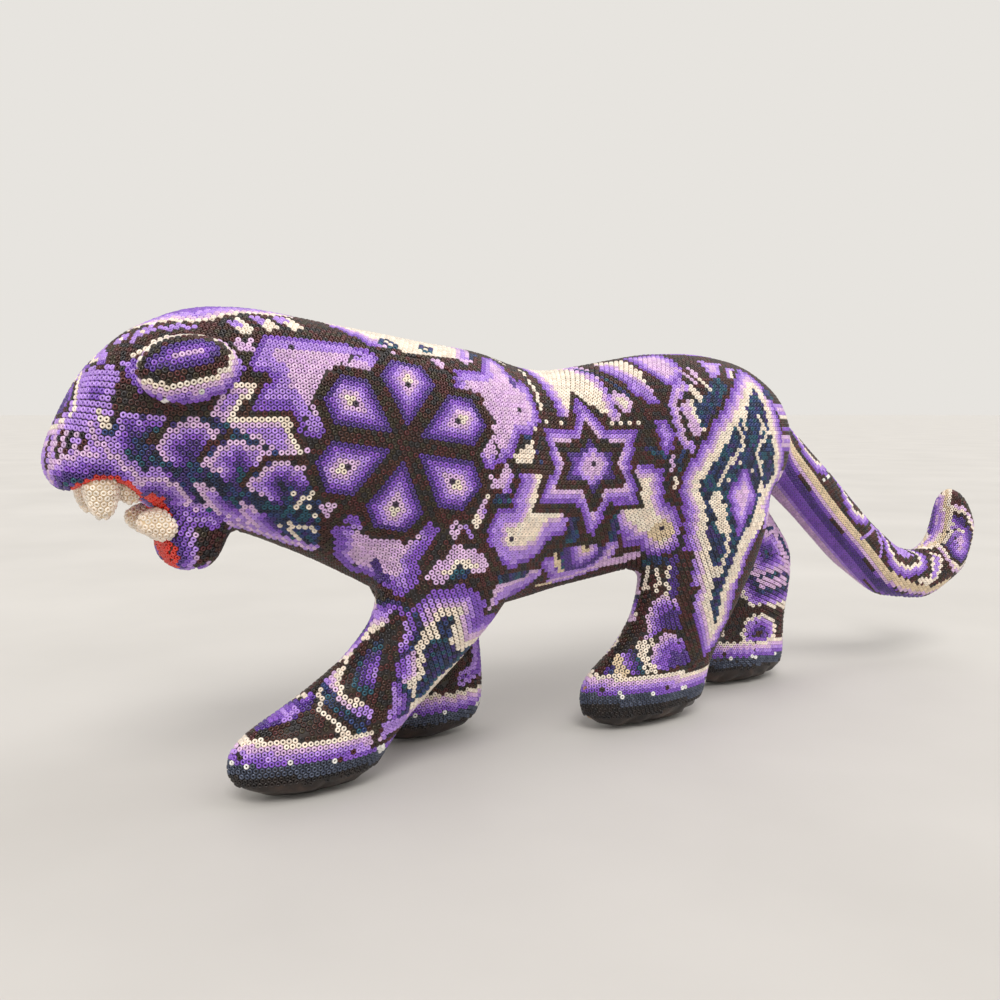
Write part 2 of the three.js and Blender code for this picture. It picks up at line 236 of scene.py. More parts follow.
class Layout:
    """Beads laid on a surface: their places, normals, the way their rows run, and how many beads along and
    up each lies from the first bead of its patch."""

    def __init__(self, surface, allowed):
        self.surface = surface
        self.allowed = allowed
        self.place = []
        self.normal = []
        self.row = []
        self.steps = []
        self.patch = []
        self.cells = {}

    def cell(self, point):
        size = 2 * PITCH
        return (math.floor(point.x / size), math.floor(point.y / size), math.floor(point.z / size))

    def add(self, place, normal, row, steps, patch):
        row = (row - normal * row.dot(normal)).normalized()
        self.cells.setdefault(self.cell(place), []).append(len(self.place))
        self.place.append(place)
        self.normal.append(normal)
        self.row.append(row)
        self.steps.append(steps)
        self.patch.append(patch)
        return len(self.place) - 1

    def around(self, point, reach):
        x, y, z = self.cell(point)
        found = []
        for i in (x - 1, x, x + 1):
            for j in (y - 1, y, y + 1):
                for k in (z - 1, z, z + 1):
                    for n in self.cells.get((i, j, k), ()):
                        if (self.place[n] - point).length < reach:
                            found.append(n)
        return found

    def settle(self, guess, near):
        """A place for a bead close to guess, one pitch from each bead beside it."""
        spot, normal = self.surface.nearest(guess)
        for _ in range(3):
            push = Vector()
            count = 0
            for n in near:
                away = spot - self.place[n]
                gap = away.length
                if gap < BESIDE * PITCH:
                    push += away * ((PITCH - gap) / max(gap, 1e-6))
                    count += 1
            if count:
                spot, normal = self.surface.nearest(spot + push * (1.0 / count))
        return spot, normal

    def grow(self, first, inside, closest=CLOSEST, turns=6):
        """Lays beads outwards from those in first, wherever inside(place, normal) is true."""
        queue = deque(first)
        while queue:
            n = queue.popleft()
            here, normal, row = self.place[n], self.normal[n], self.row[n]
            along, up = self.steps[n]
            across = normal.cross(row) * self.hand(n)
            near = self.around(here, LOOK_AROUND * PITCH)
            for turn in range(turns):
                c, s = math.cos(2 * math.pi * turn / turns), math.sin(2 * math.pi * turn / turns)
                guess = here + (row * c + across * s) * PITCH
                if any((self.place[m] - guess).length < TAKEN * PITCH for m in near):
                    continue
                spot, facing = self.settle(guess, near)
                if any((self.place[m] - spot).length < closest * PITCH for m in near):
                    continue
                if facing.dot(normal) < -0.2 or not self.allowed(spot, facing) or not inside(spot, facing):
                    continue
                made = self.add(spot, facing, row, (along + c, up + s), self.patch[n])
                near.append(made)
                queue.append(made)

    def fill_gaps(self):
        self.grow(range(len(self.place)), anywhere, closest=GAP_CLOSEST, turns=GAP_TURNS)

    def columns(self):
        """The beads' places, normals and rows as arrays."""
        return [np.array([tuple(v) for v in column]) for column in (self.place, self.normal, self.row)]

    def hand(self, n):
        """Steps up count the same way on both sides of the figure."""
        return -1 if self.patch[n].endswith("right") else 1

    def start(self, patch, point, row):
        spot, normal = self.surface.nearest(Vector(point))
        return self.add(spot, normal, Vector(row), (0.0, 0.0), patch)


class Nearest:
    """Tells which CAD node's outer skin is nearest to a point."""

    def __init__(self, names):
        points, faces, self.owner = [], [], []
        for name in names:
            mesh = nodes[name].data
            offset = len(points)
            points += [v.co.copy() for v in mesh.vertices]
            faces += [tuple(offset + i for i in p.vertices) for p in mesh.polygons]
            self.owner += [name] * len(mesh.polygons)
        self.tree = BVHTree.FromPolygons(points, faces)

    def of(self, point):
        return self.owner[self.tree.find_nearest(point)[2]]


SKINS = Nearest([n + "_beads" for n in LIMBS] + LININGS)
PAW_HEIGHT = 24 * MM
PAW_START = 12 * MM  # the height of a paw's first bead
FAR_OUT = 0.05  # a patch starts on the wax nearest to a point this far to the side
EAR_FAR_OUT = 0.06
EAR_ROWS = (1, 0, 0.22)
TAIL_START = (0.07, 0.04)  # to the rear and up from the corner of the tail's box
TAIL_ROWS = (0.76, 0, -0.65)


def lay_beads(surface):
    """The paws, ears and tail each have rows of their own, and so has the flower on each shoulder. The rows
    on the rest of a side run on from the shoulder."""
    sheet = Layout(surface, bead_belongs)
    for side, sign in SIDES:
        for paw in ("front_", "hind_"):
            low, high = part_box("sole_" + paw + side)
            outside = ((low.x + high.x) / 2, sign * FAR_OUT, PAW_START)
            first = sheet.start("paw_" + paw + side, outside, (1, 0, 0))
            sheet.grow([first], lambda place, normal: place.z < PAW_HEIGHT)
        ear = "ear_" + side
        centre = middle(ear + "_beads")
        first = sheet.start(ear, (centre.x, sign * EAR_FAR_OUT, centre.z), EAR_ROWS)
        sheet.grow([first], lambda place, normal: SKINS.of(place) == ear + "_beads")
    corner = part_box("tail_beads")[0]
    outside = (corner.x + TAIL_START[0], -FAR_OUT, corner.z + TAIL_START[1])
    first = sheet.start("tail", outside, TAIL_ROWS)
    sheet.grow([first], lambda place, normal: SKINS.of(place) == "tail_beads")
    for side, sign in SIDES:
        first = sheet.start("flank_" + side, (FLOWER_X, sign * FLOWER_Y, FLOWER_Z), (1, 0, 0))
        sheet.grow([first], lambda place, normal: side_of(place) == side)

    layout = Layout(surface, bead_belongs)
    for side, sign in SIDES:
        first = layout.start("flower_" + side, (FLOWER_X, sign * FLOWER_Y, FLOWER_Z), FLOWER_ROWS)
        heart = layout.place[first]
        layout.grow([first], lambda place, normal: (place - heart).length < FLOWER_REACH)
    for n, place in enumerate(sheet.place):
        if not layout.around(place, CLOSEST * PITCH):
            layout.add(place, sheet.normal[n], sheet.row[n], sheet.steps[n], sheet.patch[n])
    layout.fill_gaps()
    return layout


def side_of(place):
    owner = SKINS.of(place)
    for side, _ in SIDES:
        if side in owner:
            return side
    return "left" if place.y < 0 else "right"


def bead_belongs(place, normal):
    return place.z > SOLE_LINE["front" if place.x < 0 else "hind"] and normal.z > -0.97


SIDES = (("left", -1), ("right", 1))
trunk_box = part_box("trunk_beads")
FLOWER_X = trunk_box[0].x + 24 * MM
FLOWER_Y = 40 * MM
FLOWER_Z = 126 * MM
FLOWER_ROWS = (math.cos(math.radians(10)), 0, -math.sin(math.radians(10)))
FLOWER_REACH = 16.6 * PITCH


# ---- Bead patterns ---------------------------------------------------------------------------------------
#
# A chart is a list of shapes painted one over another. Places in it count beads along (to the rear) and up
# from the first bead of the patch. A shape's letters name its colours one ring after another, inwards from
# its edge for an area and outwards from its middle for a line. The last one fills the rest of an area. Each
# bead starts as bronze.

# Each letter names one or more tints, dealt out to its beads by chance. Bronze and navy are the dark beads'
# own colours. Their many hues are painted glints: they stand in for the coloured light that the iris beads'
# coating reflects.
COLOURS = {
    "C": [(252, 240, 224), (250, 234, 216)],  # cream
    "W": [(248, 246, 240)],  # pearl
    "T": [(238, 216, 182)],  # tan
    "P": [(230, 196, 232), (222, 184, 230)],  # pink-lilac
    "L": [(192, 150, 236), (182, 140, 230)],  # light purple
    "M": [(142, 88, 204), (132, 84, 196)],  # purple
    "D": [(84, 44, 146), (74, 42, 130)],  # deep purple
    "K": [(48, 22, 58), (38, 22, 40)],  # black purple
    "G": [(84, 92, 112), (70, 78, 98)],  # gunmetal
    "X": [(38, 34, 36), (48, 40, 38)],  # black
    # bronze and navy: dark bead colours, with their spread of hues painted iris glints
    "B": [(78, 46, 36), (62, 52, 36), (88, 42, 42), (48, 44, 46), (66, 38, 34)],  # bronze
    "N": [(54, 72, 126), (44, 92, 112), (72, 56, 122), (38, 44, 70), (46, 62, 98)],  # navy
    "R": [(240, 52, 30), (226, 44, 26)],  # red
}
METAL_COLOURS = "BNGX"
RING = 0.95  # a ring's width, in beads
DOT_REACH = 0.56


def area(letters, *corners):
    return "area", letters, np.array(corners, float)


def line(letters, *corners):
    return "line", letters, np.array(corners, float)


def hem(letters, count, *corners):
    """An area whose rings count only from the edge through its first corners."""
    return count, letters, np.array(corners, float)


def dots(letter, *places):
    return "dots", letter, np.array(places, float)


def oval(letters, along, up, half_along, half_up, tilt=0):
    turn = np.linspace(0, 2 * math.pi, 24, endpoint=False)
    c, s = math.cos(math.radians(tilt)), math.sin(math.radians(tilt))
    a, b = half_along * np.cos(turn), half_up * np.sin(turn)
    return "area", letters, np.stack([along + a * c - b * s, up + a * s + b * c], axis=1)


def segment_distance(points, start, end):
    step = end - start
    share = np.clip((points - start) @ step / max(step @ step, 1e-9), 0, 1)
    return np.linalg.norm(points - start - share[:, None] * step, axis=1)


def inside_outline(points, corners):
    inside = np.zeros(len(points), bool)
    for (a0, b0), (a1, b1) in zip(corners, np.roll(corners, -1, axis=0)):
        if b0 == b1:
            continue
        spans = (b0 > points[:, 1]) != (b1 > points[:, 1])
        crossing = a0 + (points[:, 1] - b0) * (a1 - a0) / (b1 - b0)
        inside ^= spans & (points[:, 0] < crossing)
    return inside


def paint(letters, points, chart):
    """Paints a chart's shapes over an array of colour letters."""
    for kind, ramp, corners in chart:
        if kind == "dots":
            starts = ends = corners
        elif kind == "area":
            starts, ends = corners, np.roll(corners, -1, axis=0)
        elif kind == "line":
            starts, ends = corners[:-1], corners[1:]
        else:
            starts, ends = corners[:kind - 1], corners[1:kind]
        distance = np.min([segment_distance(points, a, b) for a, b in zip(starts, ends)], axis=0)
        ring = (distance / RING).astype(int)
        if kind == "dots":
            hit = distance < DOT_REACH
        elif kind == "line":
            ring = (distance / RING + 0.5).astype(int)
            hit = ring < len(ramp)
        else:
            hit = inside_outline(points, corners)
        colour = np.array(list(ramp))[np.minimum(ring, len(ramp) - 1)]
        letters[hit] = colour[hit]


def flower(letters, points):
    """Six petals between crossed bronze bands, with a bronze edge all round."""
    radius = np.hypot(points[:, 0], points[:, 1])
    turn = np.degrees(np.arctan2(points[:, 1], points[:, 0])) % 60 - 30
    along = radius * np.cos(np.radians(turn))
    across = np.abs(radius * np.sin(np.radians(turn)))
    band = radius * np.sin(np.radians(30 - np.abs(turn)))
    end = np.minimum(15.4 - along, 9.9 - along * 0.5 - across * 0.866)
    depth = np.minimum(np.minimum(band - 1.2, 5.2 - across), end)
    letters[(depth > -2.2) | (radius < 9)] = "B"
    for start, colour in ((0, "D"), (0.7, "M"), (1.5, "L"), (2.4, "P"), (3.2, "C")):
        letters[depth > start] = colour
    letters[np.hypot(along - 10.4, across) < 0.5] = "K"


FLANK = [
    # around the ear, crown and brow
    line("LM", (-47.6, 22), (-46.4, 15), (-44.6, 10.6), (-41, 8.4), (-36, 7.6)),
    hem("CPLLMM", 7, (-43, 30), (-36, 25.2), (-32.2, 22), (-29, 22.4), (-26, 24), (-16, 25.4), (-6, 26.4),
        (-6, 40), (-43, 40)),
    area("LLM", (-60, 9), (-60, 34), (-44, 34), (-45, 23), (-46.6, 9)),
    line("B", (-57, 15), (-50, 21)),
    line("B", (-55, 20), (-48, 25.6)),
    line("B", (-52, 25), (-45, 30)),
    line("C", (-50, 31), (-46, 25)),
    line("B", (-55, 10.4), (-49.6, 15.4)),
    line("B", (-52.6, 9.4), (-47.4, 13.6)),
    line("B", (-54, 14), (-49, 18.6)),
    line("C", (-48.8, 21.4), (-45.8, 17.6), (-45.4, 14)),
    line("B", (-50, 12), (-46.4, 9.6)),
    area("LC", (-43.6, 24.4), (-42.8, 27.2), (-40.4, 27.6), (-41.4, 24.4)),
    area("LCC", (-41.2, 22.4), (-40.2, 25.6), (-36.6, 26), (-38.2, 22.8)),
    line("L", (-37.6, 23.4), (-33.6, 22.4)),
    line("L", (-36, 21.8), (-32, 20.8)),
    line("C", (-42.2, 18.6), (-36.6, 20.2)),
    area("CC", (-26.6, 22), (-24.8, 22.6), (-22.4, 19.8), (-24.6, 18.2)),
    area("L", (-27.2, 21.8), (-25.4, 22.8), (-24.6, 21), (-26.2, 19.6)),
    area("CC", (-22.6, 23.2), (-20.8, 23.8), (-18.6, 20.6), (-20.6, 19.4)),
    area("L", (-23.2, 23.2), (-21.4, 24), (-20.6, 22.2), (-22, 21)),
    area("CC", (-18.2, 24), (-16.4, 24.8), (-13.6, 21.6), (-15.8, 20.4)),
    area("L", (-19, 24.2), (-17, 25), (-16.2, 23.2), (-17.8, 22)),
    area("CC", (-13.6, 25), (-11.6, 25.8), (-9.8, 23.4), (-11.6, 22.6)),
    area("P", (-26.8, 18), (-25, 17.2), (-23.8, 18.2), (-24, 15.4), (-25.2, 14.6), (-26.6, 16)),
    # field ahead of the flower
    area("MLLPPP", (-22.2, 19), (-8, 18.6), (-3, 17.2), (-1.4, 14), (-2, 11), (-12.8, 1.6), (-17.2, 1.6),
         (-18.8, 6), (-25, 6), (-21.4, 11.2), (-25, 12.2), (-23.2, 16)),
    dots("K", (-17.8, 16.4)),
    # stepped stroke behind the ear
    area("PLM", (-28.6, 9.2), (-25, 9.2), (-29.2, 3.6), (-31.4, 5), (-30.6, 7)),
    area("PLM", (-29.4, 3.6), (-19.8, 3.6), (-17.6, -1.2), (-21.6, -1.2), (-24.6, 1.4), (-29, 2)),
    line("C", (-28.6, 9.4), (-24.8, 9.4), (-29, 4), (-19.8, 4), (-17.2, -0.9)),
    area("P", (-16.8, 0), (-13.8, 0), (-16, -3)),
    # nose, eye, whisker stripes and upper lip
    area("L", (-64, -9), (-64, 9), (-56, 10), (-47, 10), (-46, 2), (-47, -7)),
    area("MD", (-64, 2.8), (-58, 9.6), (-55.6, 6), (-57, 3)),
    line("B", (-57, 8.6), (-55.2, 4.4), (-60.6, 2.6)),
    line("C", (-57.4, 10.4), (-54.8, 7), (-53.4, 4), (-55.6, 2.4), (-60.4, 1.2)),
    area("PL", (-62, -1.4), (-60.6, 0.8), (-55, 2), (-52.4, 1.2), (-54, -0.8)),
    *[line(letter, (along, -4.4), (along, top)) for letter, along, top in (
        ("B", -57.8, 0.4), ("P", -56.2, 0.6), ("B", -54.6, 0.8), ("P", -53.7, 0.8),
        ("B", -52.7, 0.8), ("P", -51.5, 0.8), ("B", -50.4, 0.6), ("P", -49.3, 0.4))],
    line("B", (-48.4, -4.2), (-48.4, 0)),
    area("LMDD", (-50, 9.4), (-47.4, 7.2), (-49.6, 4.2), (-53.6, 6.2)),
    area("CC", (-48.6, 4.6), (-45, 2.2), (-45.6, 1.2), (-47, -0.2), (-49.2, 1.8)),
    line("N", (-47.2, 2.2), (-45.4, 1.2)),
    line("NDMLP", (-55, -9.4), (-53.8, -7.2), (-51.6, -6), (-48, -5.6), (-45.2, -5.8)),
    # cheek
    area("N", (-47, 1), (-45, 4.6), (-30, 4.6), (-24, 1), (-18, -3), (-14.4, -6), (-13.8, -20), (-20, -19),
         (-26, -15), (-32, -12), (-38, -8), (-42, -3.6)),
    hem("LMDN", 4, (-45.6, 0.6), (-45.2, 4.8), (-42.6, 5), (-41, 3.8), (-41, 0), (-44, -1)),
    line("L", (-40.8, 4.4), (-38, 4)),
    line("M", (-40.6, 3.4), (-39, 3)),
    line("B", (-40.2, 0.6), (-38.8, 2.8), (-36.8, 4.6)),
    hem("PLMDN", 8, (-38.6, -1.6), (-39.9, -0.4), (-39, 1.3), (-37.6, 2.7), (-35.3, 4.4), (-33.4, 4.4),
        (-29.6, 2.6), (-30.4, 1.2), (-32, -1), (-34, -4)),
    line("B", (-33, -1.6), (-31, 0.8), (-28.6, 2.2)),
    hem("PLMDN", 8, (-30.8, -3.9), (-32.7, -2.9), (-32.1, -1.5), (-30.2, 0.3), (-28.4, 1.3), (-26.6, 1.3),
        (-22.2, -0.7), (-23.2, -1.9), (-25, -4), (-28, -6)),
    line("B", (-26.4, -5.6), (-24.2, -3.2), (-21.8, -1.4), (-17, -1.8)),
    hem("PLMDN", 9, (-23.8, -8.3), (-24.9, -7.5), (-25.9, -6.4), (-25.1, -5), (-23.2, -3.2), (-21.9, -2.2),
        (-20.3, -1.9), (-18.8, -2.5), (-16.2, -3.8), (-15.8, -4.8), (-17, -8), (-20, -10)),
    hem("LMDN", 7, (-38.3, -3.6), (-40.9, -2.5), (-40.5, -4.4), (-39, -6.2), (-37.8, -8.3), (-36.2, -9.5),
        (-33.4, -10.8), (-34, -8), (-36, -5)),
    hem("PLMDN", 7, (-30.5, -6.8), (-33.6, -5.5), (-33.3, -7.6), (-32, -10.5), (-30.2, -13), (-28, -14.2),
        (-25, -15.6), (-26, -12), (-29, -9)),
    hem("PLMDN", 6, (-24.2, -10.4), (-26.8, -9.4), (-26.5, -12), (-25.1, -15.6), (-23.2, -17.6),
        (-21, -19.2), (-20, -16), (-23, -12)),
    line("C", (-18.1, -10), (-14.8, -7.3)),
    line("C", (-15, -12.6), (-14, -11.6)),
    line("C", (-15.2, -14.4), (-15, -15.2)),
    line("C", (-19.2, -14), (-17.2, -19)),
    dots("C", (-18.4, -8.2), (-15.8, -10.6), (-17, -14.8), (-20.5, -15.2)),
    line("MM", (-43.6, -4.6), (-41, -7), (-38.6, -9.4), (-35, -12.6)),
    line("PL", (-49.6, 2.4), (-48, 0.6), (-46, -1.4), (-43.6, -3.2), (-41.4, -5.4), (-39, -7.6),
         (-36.6, -10), (-33.6, -11.6), (-29, -14.6), (-22, -18.6), (-15, -21)),
    # lower jaw
    line("RRDMLP", (-39.8, -10), (-38.8, -13), (-38.6, -16), (-38.8, -20), (-39.6, -24)),
    area("B", (-33.6, -14.6), (-29, -14), (-28, -19), (-34, -27), (-36, -27), (-34.4, -20)),
    line("LM", (-35, -12.4), (-30.6, -13.6)),
    # chest
    area("B", (-14.4, -4), (-12.4, -12), (-12.4, -27), (-17, -27), (-14.4, -20)),
    area("P", (-14, -9), (-12.4, -9.2), (-11, -10.2), (-12.2, -11), (-13.2, -12.6), (-14, -11.6)),
    area("MMLPP", (-8.8, -11.8), (-12.2, -15), (-11.6, -18.6), (-12.2, -22), (-9, -27), (-5, -26.6),
         (-1, -26.6), (2.2, -27.8), (4, -25), (3, -22.4), (2.6, -20.4), (5, -17.6), (6, -15.6),
         (4.2, -13.2)),
    area("DM", (-5.6, -20.4), (-3, -23), (-0.6, -25.6), (-4, -26.4)),
    dots("K", (-8, -24.2)),
    line("BB", (9, -14.4), (5, -19), (4.6, -24), (4.6, -28)),
    # upper back
    area("B", (-14, 18.8), (-14, 36), (60, 36), (60, 18.2)),
    hem("MLPC", 2, (-8, 24), (-2.4, 18.4), (16, 17.6), (18.4, 23), (18.4, 36), (-8, 36)),
    line("LP", (15.8, 17.8), (18.2, 23), (18.2, 32)),
    oval("NC", 1.1, 20.3, 1.7, 1.5),
    oval("NC", 8.7, 20.2, 1.7, 1.5),
    area("P", (-1.4, 17.8), (2, 17.4), (0.6, 14.8)),
    area("P", (7.6, 17), (10.6, 16.4), (9.4, 13.4)),
    line("N", (17.8, 18), (19.6, 21)),
    # field behind the flower
    area("MLPPP", (10.3, 10.2), (12, 14), (18, 14), (20, 18.6), (22.4, 20), (24.6, 17.6), (25.2, 14.4),
         (26.2, 12.2), (27.4, 14.6), (28.6, 11.6), (29, 7.6), (28.6, 4), (26, 1.8), (22.4, 1), (21, -1.6),
         (17.8, -4), (14.6, -4.8), (11.8, -3)),
    area("DM", (24.4, 14.8), (25.6, 12.6), (24.4, 10.6), (23.4, 12)),
    dots("K", (23.6, 5.7)),
    line("C", (25, 20.4), (26.6, 18.4)),
    line("C", (31.3, 17.5), (30.4, 8.8), (29.6, 5.6)),
    area("CCP", (20.4, -2.4), (24.4, -0.2), (26.4, 1), (26.8, 4), (24.6, -3.4), (21, -4)),
    dots("N", (24, 1), (26.4, -2), (26.6, -3.4)),
    hem("PPLM", 4, (14.4, -8), (13.2, -5), (16.6, -6.2), (18.6, -3.8), (20, -6), (19, -8.8), (16.8, -8.6)),
    area("N", (16, -9.2), (19.4, -9), (19.4, -11), (16, -11)),
    hem("CPL", 4, (14.6, -8.6), (12, -10.2), (11.2, -12.4), (12.6, -15), (13.6, -14), (14.4, -11.6)),
    area("PPC", (7, -13.6), (10, -14), (9.6, -16.2), (8.6, -17.6), (7.6, -15.6)),
    line("L", (10.8, -14.6), (11.4, -17)),
    # outer and inner star
    area("B", (29, 3.6), (29, 6.4), (38, 6.4), (37, 3.6)),
    area("B", (44.6, 3.6), (44.6, 6.4), (53.6, 6.4), (53.6, 3.6)),
    hem("MLPC", 4, (34, 34), (33.4, 18), (33.6, 13.6), (34.4, 6), (37.2, 6), (40.2, 11.8), (44.8, 6.3),
        (47.6, 6.2), (48, 12), (46.6, 20), (48, 34)),
    line("LP", (47.6, 6.2), (48, 12), (46.6, 20), (47.6, 32)),
    area("BMLPP", (40.2, 12), (45.4, 4), (53.4, 3.8), (50.4, -3.8), (53.4, -12.4), (45.4, -12.2),
         (43.4, -20.8), (37.2, -12.2), (23.6, -12.2), (29.6, -4.2), (27.6, 4), (36.6, 4)),
    area("BBDM", (40.7, 5), (42.8, 1), (48.8, 0.7), (46.9, -3.6), (48.8, -8.6), (43.9, -8.4), (41.8, -13.2),
         (38, -8.4), (31, -8.3), (33.4, -3.9), (30.9, 0.7), (37.6, 0.9)),
    oval("LPP", 40.8, -3.9, 3.4, 3.2),
    dots("K", (40.9, -3.8)),
    dots("C", (30.2, 4.6), (32, 4.6), (34.2, 4.6), (46.8, 4.5), (48.4, 4.5), (50.2, 4.4), (52.1, 4.4)),
    # blobs below the star
    hem("MLLPC", 12, (21.6, -5.6), (20.4, -8.6), (19.6, -11.4), (16.6, -12), (15, -14), (14.8, -17.6),
        (16.4, -21), (20.6, -22.8), (24.8, -22.2), (28.4, -20.6), (30.4, -17.6), (35.8, -16.2), (35, -13.6),
        (33.6, -12.3), (24.6, -12.3), (27, -5.6)),
    dots("K", (19.9, -17.5)),
    hem("MLPC", 15, (52.4, -3.6), (57.4, -4.8), (57.2, -8), (58.4, -11.6), (61.8, -13.8), (63.4, -17),
        (63.6, -20), (62.6, -22.8), (60, -24), (57, -23), (55.4, -20.8), (51.8, -20.8), (50.6, -18.4),
        (47.6, -17), (47.2, -15), (48.6, -12.8), (53.4, -12.2), (50.6, -4.2)),
    oval("TT", 59, -17.8, 2.6, 2.4),
    dots("K", (59.1, -17.7)),
    area("N", (35.6, -13), (38, -13.4), (39.6, -18.6), (36, -18.6)),
    area("N", (46, -13), (47.4, -13), (50.4, -22), (47.6, -21)),
    # belly
    area("N", (18, -23.6), (28.4, -23.6), (28, -25.2), (18, -25.2)),
    line("BB", (15.6, -20), (15.6, -31)),
    hem("PLLM", 5, (17, -30.6), (17.2, -26), (27, -25.6), (28, -23.8), (30.4, -23.4), (31.6, -25),
        (30.4, -28.6), (29, -31), (20, -29)),
    area("ML", (31, -21.4), (34, -20.6), (38.6, -26), (36.6, -27), (33.4, -25), (31, -23)),
    line("N", (36, -21), (38.6, -25)),
    hem("DDMLPT", 8, (36, -19.6), (36.4, -21.6), (38, -23.8), (40.2, -26), (43, -26.4), (45.8, -25.4),
        (48.2, -22.8), (47.8, -20)),
    dots("B", (42.5, -20.2)),
    line("T", (34, -20), (35, -21.8), (36.2, -23.6), (38.8, -25.7)),
    line("PL", (37, -27.4), (43, -27.4), (47.4, -26), (49, -22.8), (48.6, -20.6)),
    line("T", (33, -28.6), (38, -28.4)),
    line("PP", (49, -25.4), (56, -24.4)),
    # between star and hip
    area("B", (49, 36), (48.4, 12), (48, 6.4), (53.6, 6), (54, -3), (63.6, 1), (66, 9), (72, 20), (72, 36)),
    line("N", (46.4, 20.4), (49, 15.4), (52, 10)),
    line("N", (53, -1), (56, -1.4), (60, -3.6)),
    line("N", (62, -2), (60.6, -5.4)),
    hem("MLLPCC", 5, (50.2, 18.4), (52, 14.4), (53.4, 11), (55.4, 8.6), (58.8, 8), (57.6, 11.4), (57, 14),
        (57.8, 15.8), (57.2, 18.6), (57, 23), (52, 23.6)),
    area("PCP", (49.2, 12), (52.9, 8.8), (51, 5.6), (47.8, 9.6)),
    area("MLPPP", (58, 25), (58.4, 18), (60.2, 13.4), (62.6, 12), (65, 13.4), (67.4, 17.4), (66.6, 25)),
    line("PL", (65, 12.6), (62, 8.6), (61.6, 5.6), (62.4, 1), (63.6, -0.4)),
    area("MLPP", (56.4, 5.2), (58.8, 5), (60.2, 2.4), (59.6, -0.8), (57.6, -2.8), (57, 0), (56, 2.2)),
    area("CPL", (60.2, -6), (62.2, -7.8), (60.8, -10.6), (59.4, -8.6)),
    line("P", (59.6, -2.6), (59, -6)),
    area("P", (64.8, 9.8), (63, 7.2), (64.2, 1), (67.4, 2), (65.8, 5), (66, 8)),
    line("C", (66, 9), (65.6, 5), (67.4, 2.6)),
    line("B", (66.6, 11.4), (62.4, 7.6), (63.2, 1.2)),
    area("N", (74.6, 15.2), (76.6, 12), (75.4, 9.6), (71, 6.6), (68.6, 3.4), (66.6, 3.2), (66.4, 8.6),
         (70.8, 10.6), (72, 13)),
    line("P", (66, 17), (68.4, 12.6)),
    line("P", (68.6, 17.6), (70.6, 13.2)),
    line("C", (66.6, 12), (68.4, 8.8)),
    line("C", (70, 14), (71.6, 11.4)),
    area("LPC", (73.4, 20), (73, 13.8), (76.8, 15.6), (79.4, 19.6)),
    area("LC", (79.6, 17.8), (82.6, 17.6), (81.4, 14.6), (79.6, 12.8), (78.2, 14.6)),
    line("N", (82, 13), (83.6, 17)),
    # hip
    area("BMLPCCN", (84.6, 19.4), (79.6, 14.8), (74.6, 9.8), (69.6, 4.8), (66, 0.4), (61.2, -5), (60, -10),
         (62.4, -15), (62.8, -20), (65.6, -27), (67.2, -31), (67.4, -35), (69.2, -38.6), (71.4, -42),
         (73.5, -46), (75.2, -49), (80.4, -45.2), (81.4, -42.4), (82.8, -39.4), (82.2, -36), (80.8, -30),
         (81.6, -24), (84.8, -18.8), (88, -15), (91, -13), (96, -9), (95, -5), (92.6, 0), (91.4, 5),
         (91, 12), (87.4, 17)),
    line("C", (76.2, 4.4), (77.2, 1), (77.6, -1), (74.6, -3.2), (70.8, -8.4)),
    line("C", (75.4, -2.6), (72, -6.6)),
    line("C", (79.6, 6.4), (78, 4), (78.4, 2.6)),
    line("C", (83.4, 5), (84.4, 3), (83, 1.6)),
    line("C", (85.6, 1.8), (81.4, -2), (83, -4.4), (84.2, -6.6), (83.8, -9), (85, -12)),
    line("CC", (70.2, -11.2), (71.2, -14.4), (71.8, -17)),
    line("C", (71.8, -17), (73.4, -20.6), (74, -22.4), (72.4, -24.6)),
    line("CC", (84, -16), (81.4, -18.2), (78, -21.5), (77, -24), (77.2, -28.4)),
    dots("C", (76.6, -4.2), (73.6, -8), (80.4, -5.6), (82.6, -10.2), (72.4, -13.4), (73.8, -18.4),
         (77.8, -19.4), (80.6, -16)),
    area("MLPPC", (78.4, -4.8), (82, -10.6), (80, -14), (76, -19.8), (74.4, -15), (72.8, -10.6),
         (75.6, -7.8)),
    area("CCP", (70.8, -25.8), (73.8, -24.6), (73.8, -28.4), (71, -28.2)),
    area("B", (67, -29), (69.8, -30.4), (68.6, -34.4)),
    # rump
    area("B", (91, 16), (97, 16), (110, 0), (110, -12), (96, -9), (92.6, 0)),
    area("N", (88, 9), (92, 9), (92, 12), (88, 12)),
    line("PL", (91.6, 7), (99, 6.6)),
    line("C", (91.6, 4.8), (99, 5)),
    line("M", (92, 2.6), (99, 2.6)),
    line("LP", (92.6, 0), (99, 0)),
    line("M", (93, -2), (99, -2)),
    line("CP", (95, -7.6), (101, -8)),
    area("LPP", (86, -13.4), (92, -13), (92, -19), (84.8, -19)),
    line("B", (84.8, -19.2), (92, -19.2)),
    oval("MLPCBBDMLP", 106, 5, 8, 11),
    oval("MLPCNNDM", 106, -18, 7, 8),
    # along the spine behind the shoulders
    area("MLPPCBBLMD", (52, 27.6), (64, 26.4), (76, 23.6), (90, 23.6), (98, 30), (90, 48), (56, 48)),
    # front leg
    area("PPC", (8.6, -17.4), (12.4, -19.2), (14.6, -20.4), (14.6, -22.8), (12.2, -24), (5.8, -25.4),
         (4, -22.8), (4.8, -21.2), (6.6, -20)),
    area("N", (8, -23.6), (9, -22), (9.8, -21.4), (11, -22), (12, -22.6), (11.6, -24), (8.2, -24.8)),
    line("BB", (16.2, -24.6), (15.8, -31)),
]

EAR = [
    oval("MLPCBBDMP", 0.2, 2.6, 12, 8),
    dots("W", (-4.8, -4.8), (1.4, -3.5), (-10.6, -2)),
]

